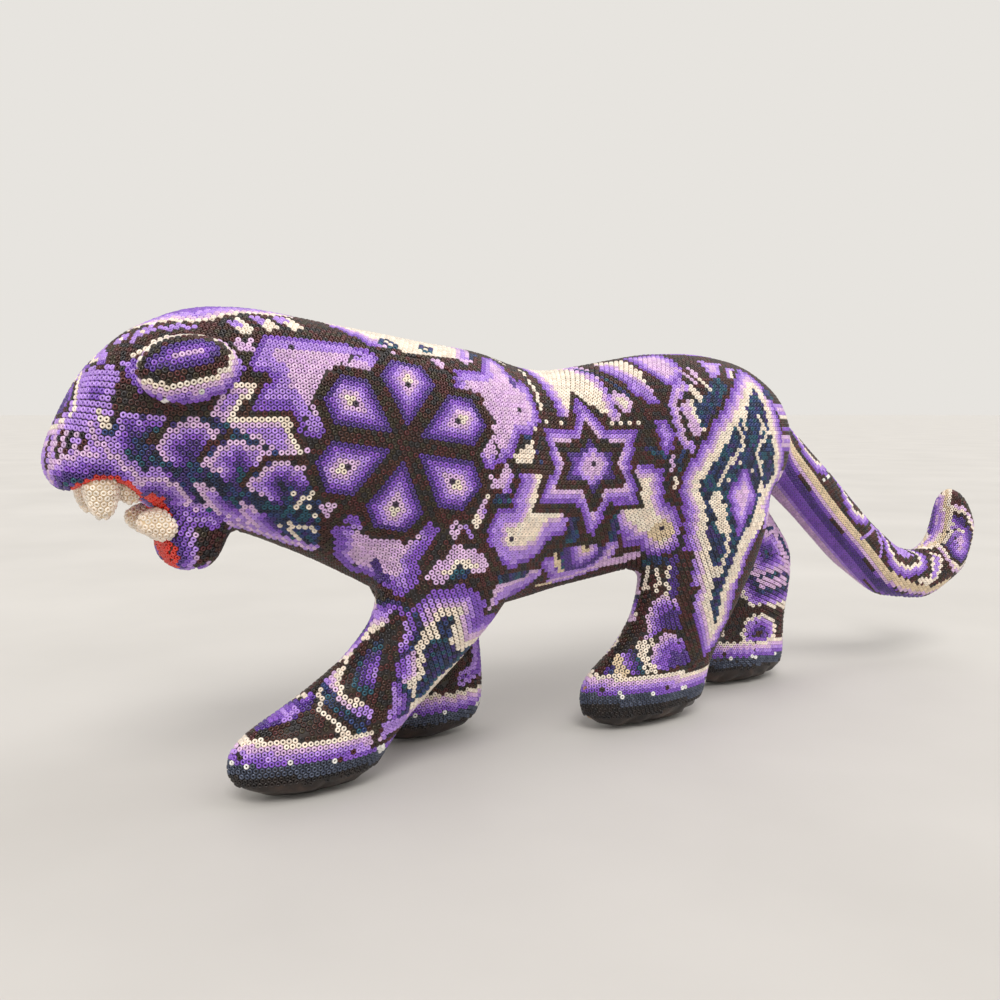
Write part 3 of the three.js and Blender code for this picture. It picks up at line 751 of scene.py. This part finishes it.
TAIL = [
    area("MLPP", (-60, -8.4), (60, -8.4), (60, -30), (-60, -30)),
    oval("MLPCBD", -30, 18, 9, 3.6),
    oval("MLPCBD", -8, 18, 9, 3.6),
    oval("MLPCBD", 12, 20, 7, 3.6),
    line("TT", (-60, -2.7), (8, -2.7), (14, -1.8), (20, 0.2), (28, 4), (33, 9)),
    line("P", (-60, -3.8), (8, -3.8), (14, -2.9), (20, -0.9), (28, 2.8), (34, 7)),
    line("M", (-60, -4.7), (8, -4.7), (14.4, -3.8), (20.6, -1.8), (29, 1.8)),
    line("DD", (-60, -6), (8, -6), (15, -5.2), (21.2, -3.2), (30, 0.6)),
    line("M", (-60, -7.4), (8, -7.4), (15.6, -6.6), (22, -4.6)),
    *[line("B", (along, -4.6), (along + 5, -4.6)) for along in (-30.5, -14.5, 1.5)],
    line("B", (18, -2.6), (22, -1.2)),
    area("MLCBBLL", (-41, 3.2), (-34, -0.4), (-28.4, -0.7), (-23.6, 1.6), (-22.6, 6), (-24, 14), (-42, 14)),
    area("MLCBBLL", (-20, 4.6), (-14.6, 0.6), (-9.6, -0.7), (-4.2, 1.4), (-3, 6), (-4, 14), (-21, 14)),
    area("MLCBBLL", (1.6, 4.4), (5.6, 0.8), (10, -0.7), (16, 0.6), (21.6, 6.2), (22, 12), (16, 15),
         (0, 15)),
    dots("W", (-23.8, -0.3), (-23.1, 1.5), (-22.4, 2.9), (-22.4, 4.4), (-22.2, 5.8)),
    line("L", (-3.7, -1.4), (-1, 4.6), (1.2, 3.8), (4.2, -0.8)),
    area("CLL", (23.6, 14.6), (26.4, 14.6), (27, 8), (25.6, 4.6), (21, 2.6), (21, 4.4), (23.6, 5.8),
         (23.4, 10)),
    oval("PCBDMLPC", 31.6, 20.4, 6.4, 8.4),
    line("TC", (24, 17.6), (27.6, 20), (30.6, 24.6), (32.4, 30), (34.6, 34)),
    line("LP", (22, 18.6), (26, 22), (29, 26.4), (31, 32)),
    line("DM", (19.6, 20), (24.4, 24), (27.4, 28.4), (29, 34)),
]

# Rows round a paw, counted up from the floor.
PAW = [
    line("C", (-40, 10.2), (40, 10.2)),
    line("P", (-40, 9.25), (40, 9.25)),
    line("L", (-40, 8.3), (40, 8.3)),
    line("M", (-40, 7.3), (40, 7.3)),
    area("G", (-40, 6.8), (40, 6.8), (40, 4.7), (-40, 4.7)),
    area("X", (-40, 4.7), (40, 4.7), (40, 0), (-40, 0)),
    dots("W", (-20.2, 7), (-13.5, 7), (-6.4, 7), (0.4, 7), (6.2, 7), (12.4, 7)),
]
PAW_TOP = {"front": 11.4, "hind": 12.2}  # the rows reach this high, in beads
PAW_LIFT = {"front": 0.2, "hind": 1.1}
PAW_TILT = 0.05  # how much the rows rise from one bead to the next
PAW_LEVEL = -14  # where along a paw they don't
LEG_SHIFT = {"outer": 0.55, "inner": -0.2}
LEG_BACK = 3 * MM  # the outer face's chart reaches this far past the leg's middle
LEG_SLANT = math.radians(30.8)  # the camera's turn from straight sideways
EYE = [(14.2, 30.9), (10, 30.5), (9.7, 28.2), (8.1, 27), (7.2, 25.3), (7.1, 21), (7, 19.2), (5.6, 18),
       (4.3, 12.9), (7.9, 13.8), (11, 17.3), (13.8, 19.6), (17.3, 22.3), (18.2, 24.8), (14.3, 23.6),
       (14.4, 26), (13.8, 27)]
SHIN = [(2.5, 27.5), (0.5, 27), (-2.2, 24.8), (-4, 23), (-4.6, 21), (-5.4, 19.6), (-4.8, 18.2),
        (-2.8, 16.8), (-1, 15.6), (0.6, 15.3)]
COLUMN = [(3.3, 29.5), (3, 26.8), (2.3, 23.7), (1.7, 21.4), (1.7, 19.2), (1.2, 17.1), (0.7, 14), (0.1, 11),
          (-0.3, 7.8)]
HIND_COLUMN = [(-0.5, 36), (-0.6, 33), (-0.6, 28.2), (0.4, 24), (0.6, 20.4), (2, 17), (2.9, 14.2),
               (4, 11.6)]

LEGS = {
    ("front", "outer"): [
        area("B", (-30, 4), (-30, 34), (2, 33.6), (7, 34), (12, 35.2), (15.6, 35.8), (16.4, 31), (18, 30),
             (22, 29.4), (30, 29), (30, 4)),
        line("CPLMM", *EYE, EYE[0]),
        area("CN", *EYE),
        dots("C", (8.9, 26.4), (10, 26.5), (8.9, 25.3), (6.3, 15.7), (12.8, 25), (13, 19), (12.4, 18.4)),
        area("B", (2, 33.6), (7, 34), (9, 33.4), (5, 31), (3.4, 29), (-30, 20), (-30, 34)),
        line("B", (6.6, 34.4), (12, 35.4), (18.2, 36.8)),
        area("B", (-30, 4), (-30, 30), (3.3, 30), (3, 26.8), (2.3, 23.7), (1.7, 21.4), (1.7, 19.2),
             (1.2, 17.1), (0.7, 14), (0.1, 11), (-0.3, 4)),
        dots("C", (0.8, 31), (1.8, 31.7), (3.2, 32), (4.6, 31.2), (5.3, 30.8), (4.4, 30)),
        hem("DMLPPC", 3, (-4, 31), (0, 30.6), (3.4, 30.4), (2.8, 27.8), (-5, 24), (-8, 24)),
        line("BCPLMN", *SHIN),
        hem("BNDMLPC", 10, *SHIN, (2, 20)),
        area("M", (-8, 11), (-2.8, 15.6), (0, 14), (0, 11)),
        area("L", (-6.4, 13.8), (-2.6, 15.4), (0.4, 14.2), (-0.4, 13), (-3, 13.4)),
        line("NN", (-8.4, 17.2), (-6.8, 15), (-4.6, 13), (-2, 11.4)),
        area("B", (-30, 8), (-9.4, 19), (-9, 15.4), (-3, 10.6), (-3, 8)),
        line("B", (-8.6, 16), (-5.8, 13.2), (-3.4, 11.4)),
        line("C", (-9.4, 17.6), (-9.2, 16.6), (-9, 15), (-7, 13.2), (-4.8, 11)),
        hem("DMLPC", 5, (-21.6, 12.2), (-16.2, 12.8), (-13.8, 13.6), (-10.6, 15.6), (-9.8, 16.8),
            (-10.4, 18.4), (-13, 19), (-18, 18), (-24, 13)),
        oval("LPC", -16, 15.2, 3.6, 1.8),
        dots("K", (-16, 15.2)),
        line("BB", *COLUMN),
    ],
    ("hind", "outer"): [
        area("B", (-30, 5), (-30, 35.8), (-2.4, 36), (-0.8, 33), (-0.6, 28), (0.2, 24), (0.6, 20.4),
             (2, 17), (3.4, 13), (4, 11), (4, 5)),
        area("N", (-12, 33.8), (-12, 36), (-2.6, 36), (-2.6, 33.8)),
        line("C", (-8, 33.6), (-8, 29)),
        line("C", (-6, 33.6), (-6, 28.6)),
        line("C", (-4, 33.8), (-4, 28)),
        line("DD", (-2.3, 35), (-2.2, 27)),
        hem("PLMDD", 6, (-8.6, 18), (-7.8, 23.7), (-6.9, 26.4), (-5.4, 27.8), (-3.6, 27.4), (-2.6, 27.4),
            (-1.2, 27), (-0.4, 24), (0, 20), (-2, 20.6), (-3.4, 21), (-5.8, 19.8)),
        line("CC", (-9.6, 16.4), (-7.8, 17.4)),
        hem("PLMMD", 6, (-6.9, 12), (-8.7, 14.2), (-7.4, 15.2), (-5.9, 18.4), (-3.6, 20), (-1.8, 19.4),
            (-1, 18.6), (0.6, 17), (2, 13.2), (0, 12.6), (-4, 12.2)),
        line("CC", (-8.6, 14.2), (-7, 11.8)),
        line("N", (-10.5, 16.2), (-8.9, 11.5)),
        line("D", (-11.4, 15.9), (-9.8, 11.5)),
        line("M", (-12.3, 15.6), (-10.7, 11.2)),
        line("L", (-13.2, 15.1), (-11.6, 11.2)),
        line("TT", (-14.6, 15), (-13, 11.3)),
        area("N", (-19, 11.6), (-15.4, 14.2), (-13.9, 11.2)),
        area("DM", (-19, 11.8), (-17, 13.6), (-15.8, 12.6), (-16.6, 11.4)),
        line("P", (-18.8, 13.4), (-15.6, 15)),
        line("BB", *HIND_COLUMN),
    ],
    ("hind", "inner"): [
        area("P", (-30, 5), (-30, 43), (30, 43), (30, 5)),
        line("N", (10, 42), (12.5, 38), (15.6, 34.6), (18, 31.6)),
        line("N", (6.8, 37.6), (10.8, 37.4)),
        line("N", (12.8, 35), (14.6, 32.4), (16.2, 29.8)),
        area("N", (15.8, 31), (18.6, 31), (18.6, 28.8), (15.8, 28.8)),
        area("LMDNK", (3.8, 35), (10.8, 36), (14.2, 28.4), (6.6, 27.6)),
        line("N", (2.4, 33), (3.4, 31.6), (5.2, 28.6)),
        line("N", (7.6, 26.3), (14.8, 26.1), (15.8, 24.4), (15.4, 22.6)),
        area("B", (-30, 21.6), (3, 21.4), (4.6, 19.2), (10, 18.8), (30, 17), (30, 5), (-30, 5)),
        hem("NDMLC", 6, (-30, 27.2), (2, 27.2), (5.6, 26.4), (7, 24.4), (7.6, 23.2), (16, 23), (16, 17),
            (12.6, 17.8), (10, 18.8), (4.6, 19.2), (3, 21.4), (2, 23), (-30, 23)),
        oval("CLMDB", 7.6, 12.6, 4.8, 4.4),
        oval("CLMDB", -5.6, 14.6, 4.6, 4.4),
    ],
    ("front", "inner"): [
        area("B", (-30, 5), (-30, 36), (30, 36), (30, 5)),
        line("ML", (12.6, 20), (12.6, 13), (9.6, 12.2)),
        oval("CPLMDN", 3, 25, 6.4, 7.6),
        line("C", (-9.4, 17.6), (-7, 13.2), (-4.8, 11)),
        oval("DMLPC", -15, 14.6, 6, 2.6),
    ],
}
# The hip's long diamond, for the leg that stands behind the one the flank's chart fits.
HIP_DIAMOND = [
    area("BMLPCCN", (-1.3, 60), (-1.3, 40), (-0.5, 34), (-0.4, 28), (0.6, 22), (2.4, 17), (4, 12), (8, 17),
         (12, 27), (15, 36), (17, 46), (17, 60)),
    line("CC", (3.4, 44), (6.4, 35), (5, 30)),
    line("CC", (11, 48), (8.6, 40), (9.6, 32), (6.6, 24)),
    area("MLPPC", (8, 52), (10.6, 46), (8.4, 41), (5.8, 46)),
    oval("MLPCBBDM", 18, 22, 5.4, 9),
]
# What comes down over the rows on the outer side of a front paw.
OVER_PAW = [
    area("M", (0.6, 7.4), (6, 9.8), (14, 13.6), (14, 10), (4, 6.9)),
    area("L", (0.8, 8), (6, 10.6), (3, 12), (0.8, 11.4)),
    line("B", (-0.3, 11), (-0.3, 7.6), (5.6, 9.8)),
]


def paint_part(letters, chosen, steps, chart):
    part = letters[chosen]
    paint(part, steps, chart)
    letters[chosen] = part


def paint_legs(letters, places, owners):
    """The lower legs' patterns face forwards of straight sideways. They count across from the leg's middle
    and up from the floor."""
    c, s = math.cos(LEG_SLANT), math.sin(LEG_SLANT)
    for pair in ("front", "hind"):
        for side, sign in SIDES:
            name = "leg_" + pair + "_" + side + "_beads"
            heart = middle(name)
            mine = np.flatnonzero(owners == name)
            outward = (places[mine, 1] - heart.y) * sign > -LEG_BACK
            for face, lean, chosen in (("outer", sign, mine[outward]), ("inner", -sign, mine[~outward])):
                across = (places[chosen, 0] - heart.x) * c + lean * (places[chosen, 1] - heart.y) * s
                steps = np.stack([across, places[chosen, 2]], axis=1) / PITCH
                steps[:, 0] -= LEG_SHIFT[face]
                paint_part(letters, chosen, steps, LEGS[pair, face])
                if (pair, side, face) == ("hind", "right", "outer"):
                    paint_part(letters, chosen, steps, HIP_DIAMOND)
                low = chosen[steps[:, 1] < PAW_TOP[pair]]
                level = steps[steps[:, 1] < PAW_TOP[pair]]
                level[:, 1] += PAW_TILT * (level[:, 0] - PAW_LEVEL) - PAW_LIFT[pair]
                paint_part(letters, low, level, PAW)
                if (pair, face) == ("front", "outer"):
                    paint_part(letters, chosen, steps, OVER_PAW)


def colour_letters(layout, owners):
    """The colour letter of each bead."""
    steps = np.array(layout.steps)
    places = np.array([tuple(place) for place in layout.place])
    patches = np.array([patch.rsplit("_", 1)[0] for patch in layout.patch])
    letters = np.full(len(steps), "B")
    turned = patches == "flower"
    c, s = FLOWER_ROWS[0], FLOWER_ROWS[2]
    petals = steps[turned]
    along, up = petals.T
    steps[turned] = np.stack([along * c - up * s, along * s + up * c], axis=1)
    patches[turned] = "flank"
    for patch, chart in (("flank", FLANK), ("ear", EAR), ("tail", TAIL)):
        chosen = patches == patch
        paint_part(letters, chosen, steps[chosen], chart)
    paint_legs(letters, places, owners)
    part = letters[turned]
    flower(part, petals)
    letters[turned] = part
    letters[np.isin(owners, LININGS)] = "R"
    return letters


# ---- Materials -------------------------------------------------------------------------------------------

def linear(colour):
    shares = np.array(colour) / 255
    return np.where(shares <= 0.04045, shares / 12.92, ((shares + 0.055) / 1.055) ** 2.4)


class Recipe:
    """A node material, built up in a few calls."""

    def __init__(self, name):
        self.material = bpy.data.materials.new(name)
        self.material.use_nodes = True
        self.tree = self.material.node_tree
        self.shader = self.tree.nodes["Principled BSDF"]

    def node(self, kind, **settings):
        made = self.tree.nodes.new(kind)
        for key, value in settings.items():
            if key in made.inputs:
                made.inputs[key].default_value = value
            else:
                setattr(made, key, value)
        return made

    def link(self, output, target):
        self.tree.links.new(output, target)

    def feed(self, name, output):
        self.link(output, self.shader.inputs[name])

    def set(self, **values):
        for key, value in values.items():
            self.shader.inputs[key.replace("_", " ")].default_value = value

    def noise(self, scale, detail=3.0, vector=None):
        made = self.node("ShaderNodeTexNoise", Scale=scale, Detail=detail)
        self.link(vector or self.node("ShaderNodeTexCoord").outputs["Object"], made.inputs["Vector"])
        return made.outputs["Fac"]

    def ramp(self, factor, *stops):
        """Each stop is a place from 0 to 1 and an sRGB colour out of 255."""
        made = self.node("ShaderNodeValToRGB")
        band = made.color_ramp
        while len(band.elements) < len(stops):
            band.elements.new(0.5)
        for element, (place, colour) in zip(band.elements, stops):
            element.position = place
            element.color = (*linear(colour), 1)
        self.link(factor, made.inputs["Fac"])
        return made.outputs["Color"]

    def spread(self, factor, low, high):
        made = self.node("ShaderNodeMapRange")
        made.inputs["To Min"].default_value = low
        made.inputs["To Max"].default_value = high
        self.link(factor, made.inputs["Value"])
        return made.outputs["Result"]

    def bump(self, height, strength, distance):
        made = self.node("ShaderNodeBump", Strength=strength, Distance=distance)
        self.link(height, made.inputs["Height"])
        self.feed("Normal", made.outputs["Normal"])


def bead_material(name, metallic, rough, coat):
    """Bead colour from the mesh, its lightness varied from bead to bead, with fine mould marks."""
    made = Recipe(name)
    colour = made.node("ShaderNodeAttribute", attribute_name="bead_colour").outputs["Color"]
    chance = made.node("ShaderNodeAttribute", attribute_name="bead_chance").outputs["Fac"]
    tone = made.node("ShaderNodeHueSaturation")
    made.link(colour, tone.inputs["Color"])
    made.link(made.spread(chance, 0.84, 1.12), tone.inputs["Value"])
    made.feed("Base Color", tone.outputs["Color"])
    made.feed("Roughness", made.spread(made.noise(900), rough - 0.06, rough + 0.08))
    made.bump(made.noise(1400, 2.0), 0.12, 0.0001)
    made.set(Metallic=metallic, IOR=1.52, Coat_Weight=coat, Coat_Roughness=0.08)
    return made.material


WAX_TINTS = ((0.3, (22, 18, 18)), (0.55, (44, 33, 29)), (0.75, (72, 54, 44)))
PUTTY_TINTS = ((0.35, (206, 180, 140)), (0.7, (238, 220, 188)))
FLOOR_TINTS = ((0.3, (198, 195, 191)), (0.7, (207, 204, 200)))
WORLD_TINT = (231, 228, 223)


def wax_material():
    made = Recipe("dark_wax")
    made.feed("Base Color", made.ramp(made.noise(140, 4.0), *WAX_TINTS))
    made.feed("Roughness", made.spread(made.noise(380), 0.34, 0.62))
    made.bump(made.noise(520, 5.0), 0.5, 0.0006)
    made.set(IOR=1.44, Coat_Weight=0.15, Coat_Roughness=0.3)
    return made.material


def wood_material(name, light, dark, scale):
    made = Recipe(name)
    place = made.node("ShaderNodeMapping")
    place.inputs["Scale"].default_value = (1, 5, 5)
    made.link(made.node("ShaderNodeTexCoord").outputs["Object"], place.inputs["Vector"])
    grain = made.noise(scale, 6.0, place.outputs["Vector"])
    made.feed("Base Color", made.ramp(grain, (0.35, dark), (0.65, light)))
    made.feed("Roughness", made.spread(grain, 0.5, 0.75))
    made.bump(grain, 0.3, 0.0005)
    return made.material


# ---- Bead meshes -----------------------------------------------------------------------------------------

SIDES_ROUND = 8
PROFILE = ((1.0, -0.55), (1.08, 0.15), (0.82, 0.74), (0.42, 0.46), (0.38, -0.55))  # radius, height in mm
CHUNK = 2300  # the most beads in a piece
BEAD_LEAN = 0.07  # how far beads lean, and how much they vary in size
BEAD_VARIES = 0.025


def unit(vectors):
    return vectors / np.linalg.norm(vectors, axis=1, keepdims=True)


def bead_piece(name, places, normals, rows, letters, size=1.0):
    """One mesh that holds a closed glass ring for each bead, turned and sized a little by chance."""
    count = len(places)
    chance = np.random.default_rng(SEED + sum(name.encode()))
    axis = unit(normals + chance.normal(0, BEAD_LEAN, (count, 3)))
    side = unit(rows - axis * np.sum(rows * axis, axis=1, keepdims=True))
    across = np.cross(axis, side)
    scale = size * MM * chance.normal(1, BEAD_VARIES, count)
    spin = chance.uniform(0, 2 * math.pi, count)
    around = spin[:, None] + np.arange(SIDES_ROUND) * 2 * math.pi / SIDES_ROUND
    ring = (np.cos(around)[:, :, None] * side[:, None, :] + np.sin(around)[:, :, None] * across[:, None, :])
    radius, height = np.array(PROFILE).T
    points = (places[:, None, None, :]
              + scale[:, None, None, None] * (radius[None, :, None, None] * ring[:, None, :, :]
                                              + height[None, :, None, None] * axis[:, None, None, :]))
    steps = len(PROFILE)
    p, s = np.meshgrid(np.arange(steps), np.arange(SIDES_ROUND), indexing="ij")
    p, s = p.ravel(), s.ravel()
    next_p, next_s = (p + 1) % steps, (s + 1) % SIDES_ROUND
    face = np.stack([p * SIDES_ROUND + s, p * SIDES_ROUND + next_s, next_p * SIDES_ROUND + next_s,
                     next_p * SIDES_ROUND + s], axis=1)
    each = steps * SIDES_ROUND
    faces = (np.arange(count)[:, None, None] * each + face[None]).reshape(-1, 4)

    mesh = bpy.data.meshes.new(name)
    mesh.vertices.add(count * each)
    mesh.vertices.foreach_set("co", points.reshape(-1))
    mesh.loops.add(faces.size)
    mesh.loops.foreach_set("vertex_index", faces.ravel().astype(np.int32))
    mesh.polygons.add(len(faces))
    mesh.polygons.foreach_set("loop_start", np.arange(0, faces.size, 4, dtype=np.int32))
    metal = np.isin(letters, list(METAL_COLOURS))
    mesh.polygons.foreach_set("material_index", np.repeat(metal.astype(np.int32), each))
    mesh.polygons.foreach_set("use_smooth", np.ones(len(faces), bool))
    mesh.update(calc_edges=True)

    tints = [COLOURS[letter] for letter in letters]
    colour = np.array([(*linear(tint[chance.integers(len(tint))]), 1.0) for tint in tints])
    made = mesh.attributes.new("bead_colour", "FLOAT_COLOR", "POINT")
    made.data.foreach_set("color", np.repeat(colour, each, axis=0).ravel())
    made = mesh.attributes.new("bead_chance", "FLOAT", "POINT")
    made.data.foreach_set("value", np.repeat(chance.uniform(0, 1, count), each))

    cells = math.ceil(math.sqrt(count))
    corner = np.stack([np.arange(count) % cells, np.arange(count) // cells], axis=1)
    square = np.array([(0.15, 0.15), (0.85, 0.15), (0.85, 0.85), (0.15, 0.85)])
    places_uv = (corner[:, None, None, :] + np.broadcast_to(square, (1, each, 4, 2))) / cells
    mesh.uv_layers.new(name="OFBake").data.foreach_set("uv", places_uv.ravel())
    return new_object(name, mesh)


# ---- The figure ------------------------------------------------------------------------------------------

def stand_for(piece, slot, *replaced):
    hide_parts(*replaced)
    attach(piece, "root")


def bead_coat(layout, owners, letters, materials):
    places, normals, rows = layout.columns()
    for owner in sorted(set(owners)):
        mine = np.flatnonzero(owners == owner)
        mine = mine[np.argsort(places[mine, 0], kind="stable")]
        for number, chosen in enumerate(np.array_split(mine, math.ceil(len(mine) / CHUNK))):
            piece = bead_piece(f"{owner}_glass_{number + 1}", places[chosen], normals[chosen], rows[chosen],
                               letters[chosen])
            for material in materials:
                piece.data.materials.append(material)
            stand_for(piece, "gum_beads" if owner in LININGS else "body_beads", owner)


FANG_PLUMP = 1.5 * MM  # the putty stands this far out from the CAD cone
FANG_VOXEL = 0.5 * MM
FANG_START = 0.01  # a fang's first bead is nearest to a point this far to its left
FANG_BEAD = 0.95  # the size of its beads beside the others


def form_material():
    """The cream putty under the teeth."""
    made = Recipe("cream_putty")
    mottle = made.noise(260, 4.0)
    made.feed("Base Color", made.ramp(mottle, *PUTTY_TINTS))
    made.feed("Roughness", made.spread(mottle, 0.4, 0.6))
    made.bump(made.noise(700, 3.0), 0.3, 0.0003)
    return made.material


def fang_pieces(materials):
    form = form_material()
    for node in FANGS:
        core = remeshed(copy_of(node + "_form", [node]), FANG_VOXEL)
        smoothed(core.data, np.full(len(core.data.vertices), 0.5), rounds=24)
        move_points(core.data, points_of(core.data) + FANG_PLUMP * normals_of(core.data))
        core.data.materials.append(form)
        core.data.shade_smooth()
        stand_for(core, "tooth_beads", node)
        low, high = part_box(node)
        layout = Layout(Surface(core.data), anywhere)
        outside = ((low.x + high.x) / 2, low.y - FANG_START, (low.z + high.z) / 2)
        layout.grow([layout.start("fang_left", outside, (1, 0, 0))], anywhere)
        layout.fill_gaps()
        letters = np.full(len(layout.place), "C")
        piece = bead_piece(node + "_glass", *layout.columns(), letters, FANG_BEAD)
        for material in materials:
            piece.data.materials.append(material)
        stand_for(piece, "tooth_beads", node)


def dress():
    glass = bead_material("seed_bead_glass", metallic=0.0, rough=0.24, coat=0.6)
    iris = bead_material("seed_bead_iris", metallic=0.55, rough=0.3, coat=0.5)
    wax = wax_material()
    coat = wax_surface()
    layout = lay_beads(Surface(coat.data))
    owners = np.array([SKINS.of(place) for place in layout.place])
    letters = colour_letters(layout, owners)
    bead_coat(layout, owners, letters, (glass, iris))
    coat.data.materials.append(wax)
    coat.data.shade_smooth()
    stand_for(coat, "wax", *[n for n in nodes if n.endswith("_wax")], *SOLES)
    fang_pieces((glass, iris))
    wood = wood_material("carved_wood", light=(196, 158, 112), dark=(142, 102, 64), scale=90)
    peg_wood = wood_material("peg_wood", light=(206, 176, 130), dark=(164, 128, 84), scale=130)
    for name, node in nodes.items():
        if not node.hide_render:
            node.data.materials.clear()
            node.data.materials.append(wood if name.endswith("_core") else peg_wood)


FLOOR_HEART = 0.05  # the floor's innermost ring and its edge
FLOOR_REACH = 30


def floor_piece():
    """A large pale floor with soft mottling."""
    count = 96
    radius = np.concatenate([[0.0], np.geomspace(FLOOR_HEART, FLOOR_REACH, 40)])
    turn = np.linspace(0, 2 * math.pi, count, endpoint=False)
    points = [(0, 0, 0)] + [(r * math.cos(t), r * math.sin(t), 0) for r in radius[1:] for t in turn]
    faces = [(0, 1 + i, 1 + (i + 1) % count) for i in range(count)]
    for k in range(len(radius) - 2):
        base = 1 + k * count
        for i in range(count):
            j = (i + 1) % count
            faces.append((base + i, base + count + i, base + count + j, base + j))
    mesh = bpy.data.meshes.new("floor")
    mesh.from_pydata(points, [], faces)
    piece = new_object("floor", mesh)
    made = Recipe("pale_floor")
    mottle = made.noise(6, 4.0)
    made.feed("Base Color", made.ramp(mottle, *FLOOR_TINTS))
    made.feed("Roughness", made.spread(mottle, 0.55, 0.7))
    made.bump(made.noise(60, 3.0), 0.05, 0.001)
    mesh.materials.append(made.material)


def sun(name, place, spread, strength, colour):
    """A soft far light that shines from place towards the origin."""
    lamp = bpy.data.lights.new(name, "SUN")
    lamp.angle = math.radians(spread)
    lamp.energy = strength
    lamp.color = colour
    holder = bpy.data.objects.new(name, lamp)
    holder.rotation_euler = (-Vector(place)).to_track_quat("-Z", "Y").to_euler()
    bpy.context.scene.collection.objects.link(holder)


# The viewpoint that was fitted to the photo.
LENS = 36.72  # mm, on a sensor 36 mm wide
CAMERA_PLACE = (-0.28326, -0.3605, 0.1373)
CAMERA_PITCH = math.radians(84.96)
# Where each lamp shines from, how many degrees wide it is, its strength and its colour.
LAMPS = {
    "key": ((-0.6, -1.2, 1.6), 28, 1.5, (1.0, 0.98, 0.95)),
    "fill": ((0.9, -0.3, 1.5), 50, 0.6, (0.96, 0.97, 1.0)),
}


def studio():
    floor_piece()
    world = bpy.data.worlds.new("studio")
    world.use_nodes = True
    back = world.node_tree.nodes["Background"]
    back.inputs["Color"].default_value = (*linear(WORLD_TINT), 1)
    back.inputs["Strength"].default_value = 1.0
    bpy.context.scene.world = world
    bpy.context.scene.view_settings.view_transform = "Standard"
    for name, settings in LAMPS.items():
        sun(name, *settings)
    lens = bpy.data.cameras.new("camera")
    lens.lens = LENS
    lens.sensor_width = 36
    lens.clip_start = 0.01
    camera = bpy.data.objects.new("camera", lens)
    camera.location = CAMERA_PLACE
    camera.rotation_euler = (CAMERA_PITCH, 0, -LEG_SLANT)
    bpy.context.scene.collection.objects.link(camera)
    bpy.context.scene.camera = camera


dress()
studio()
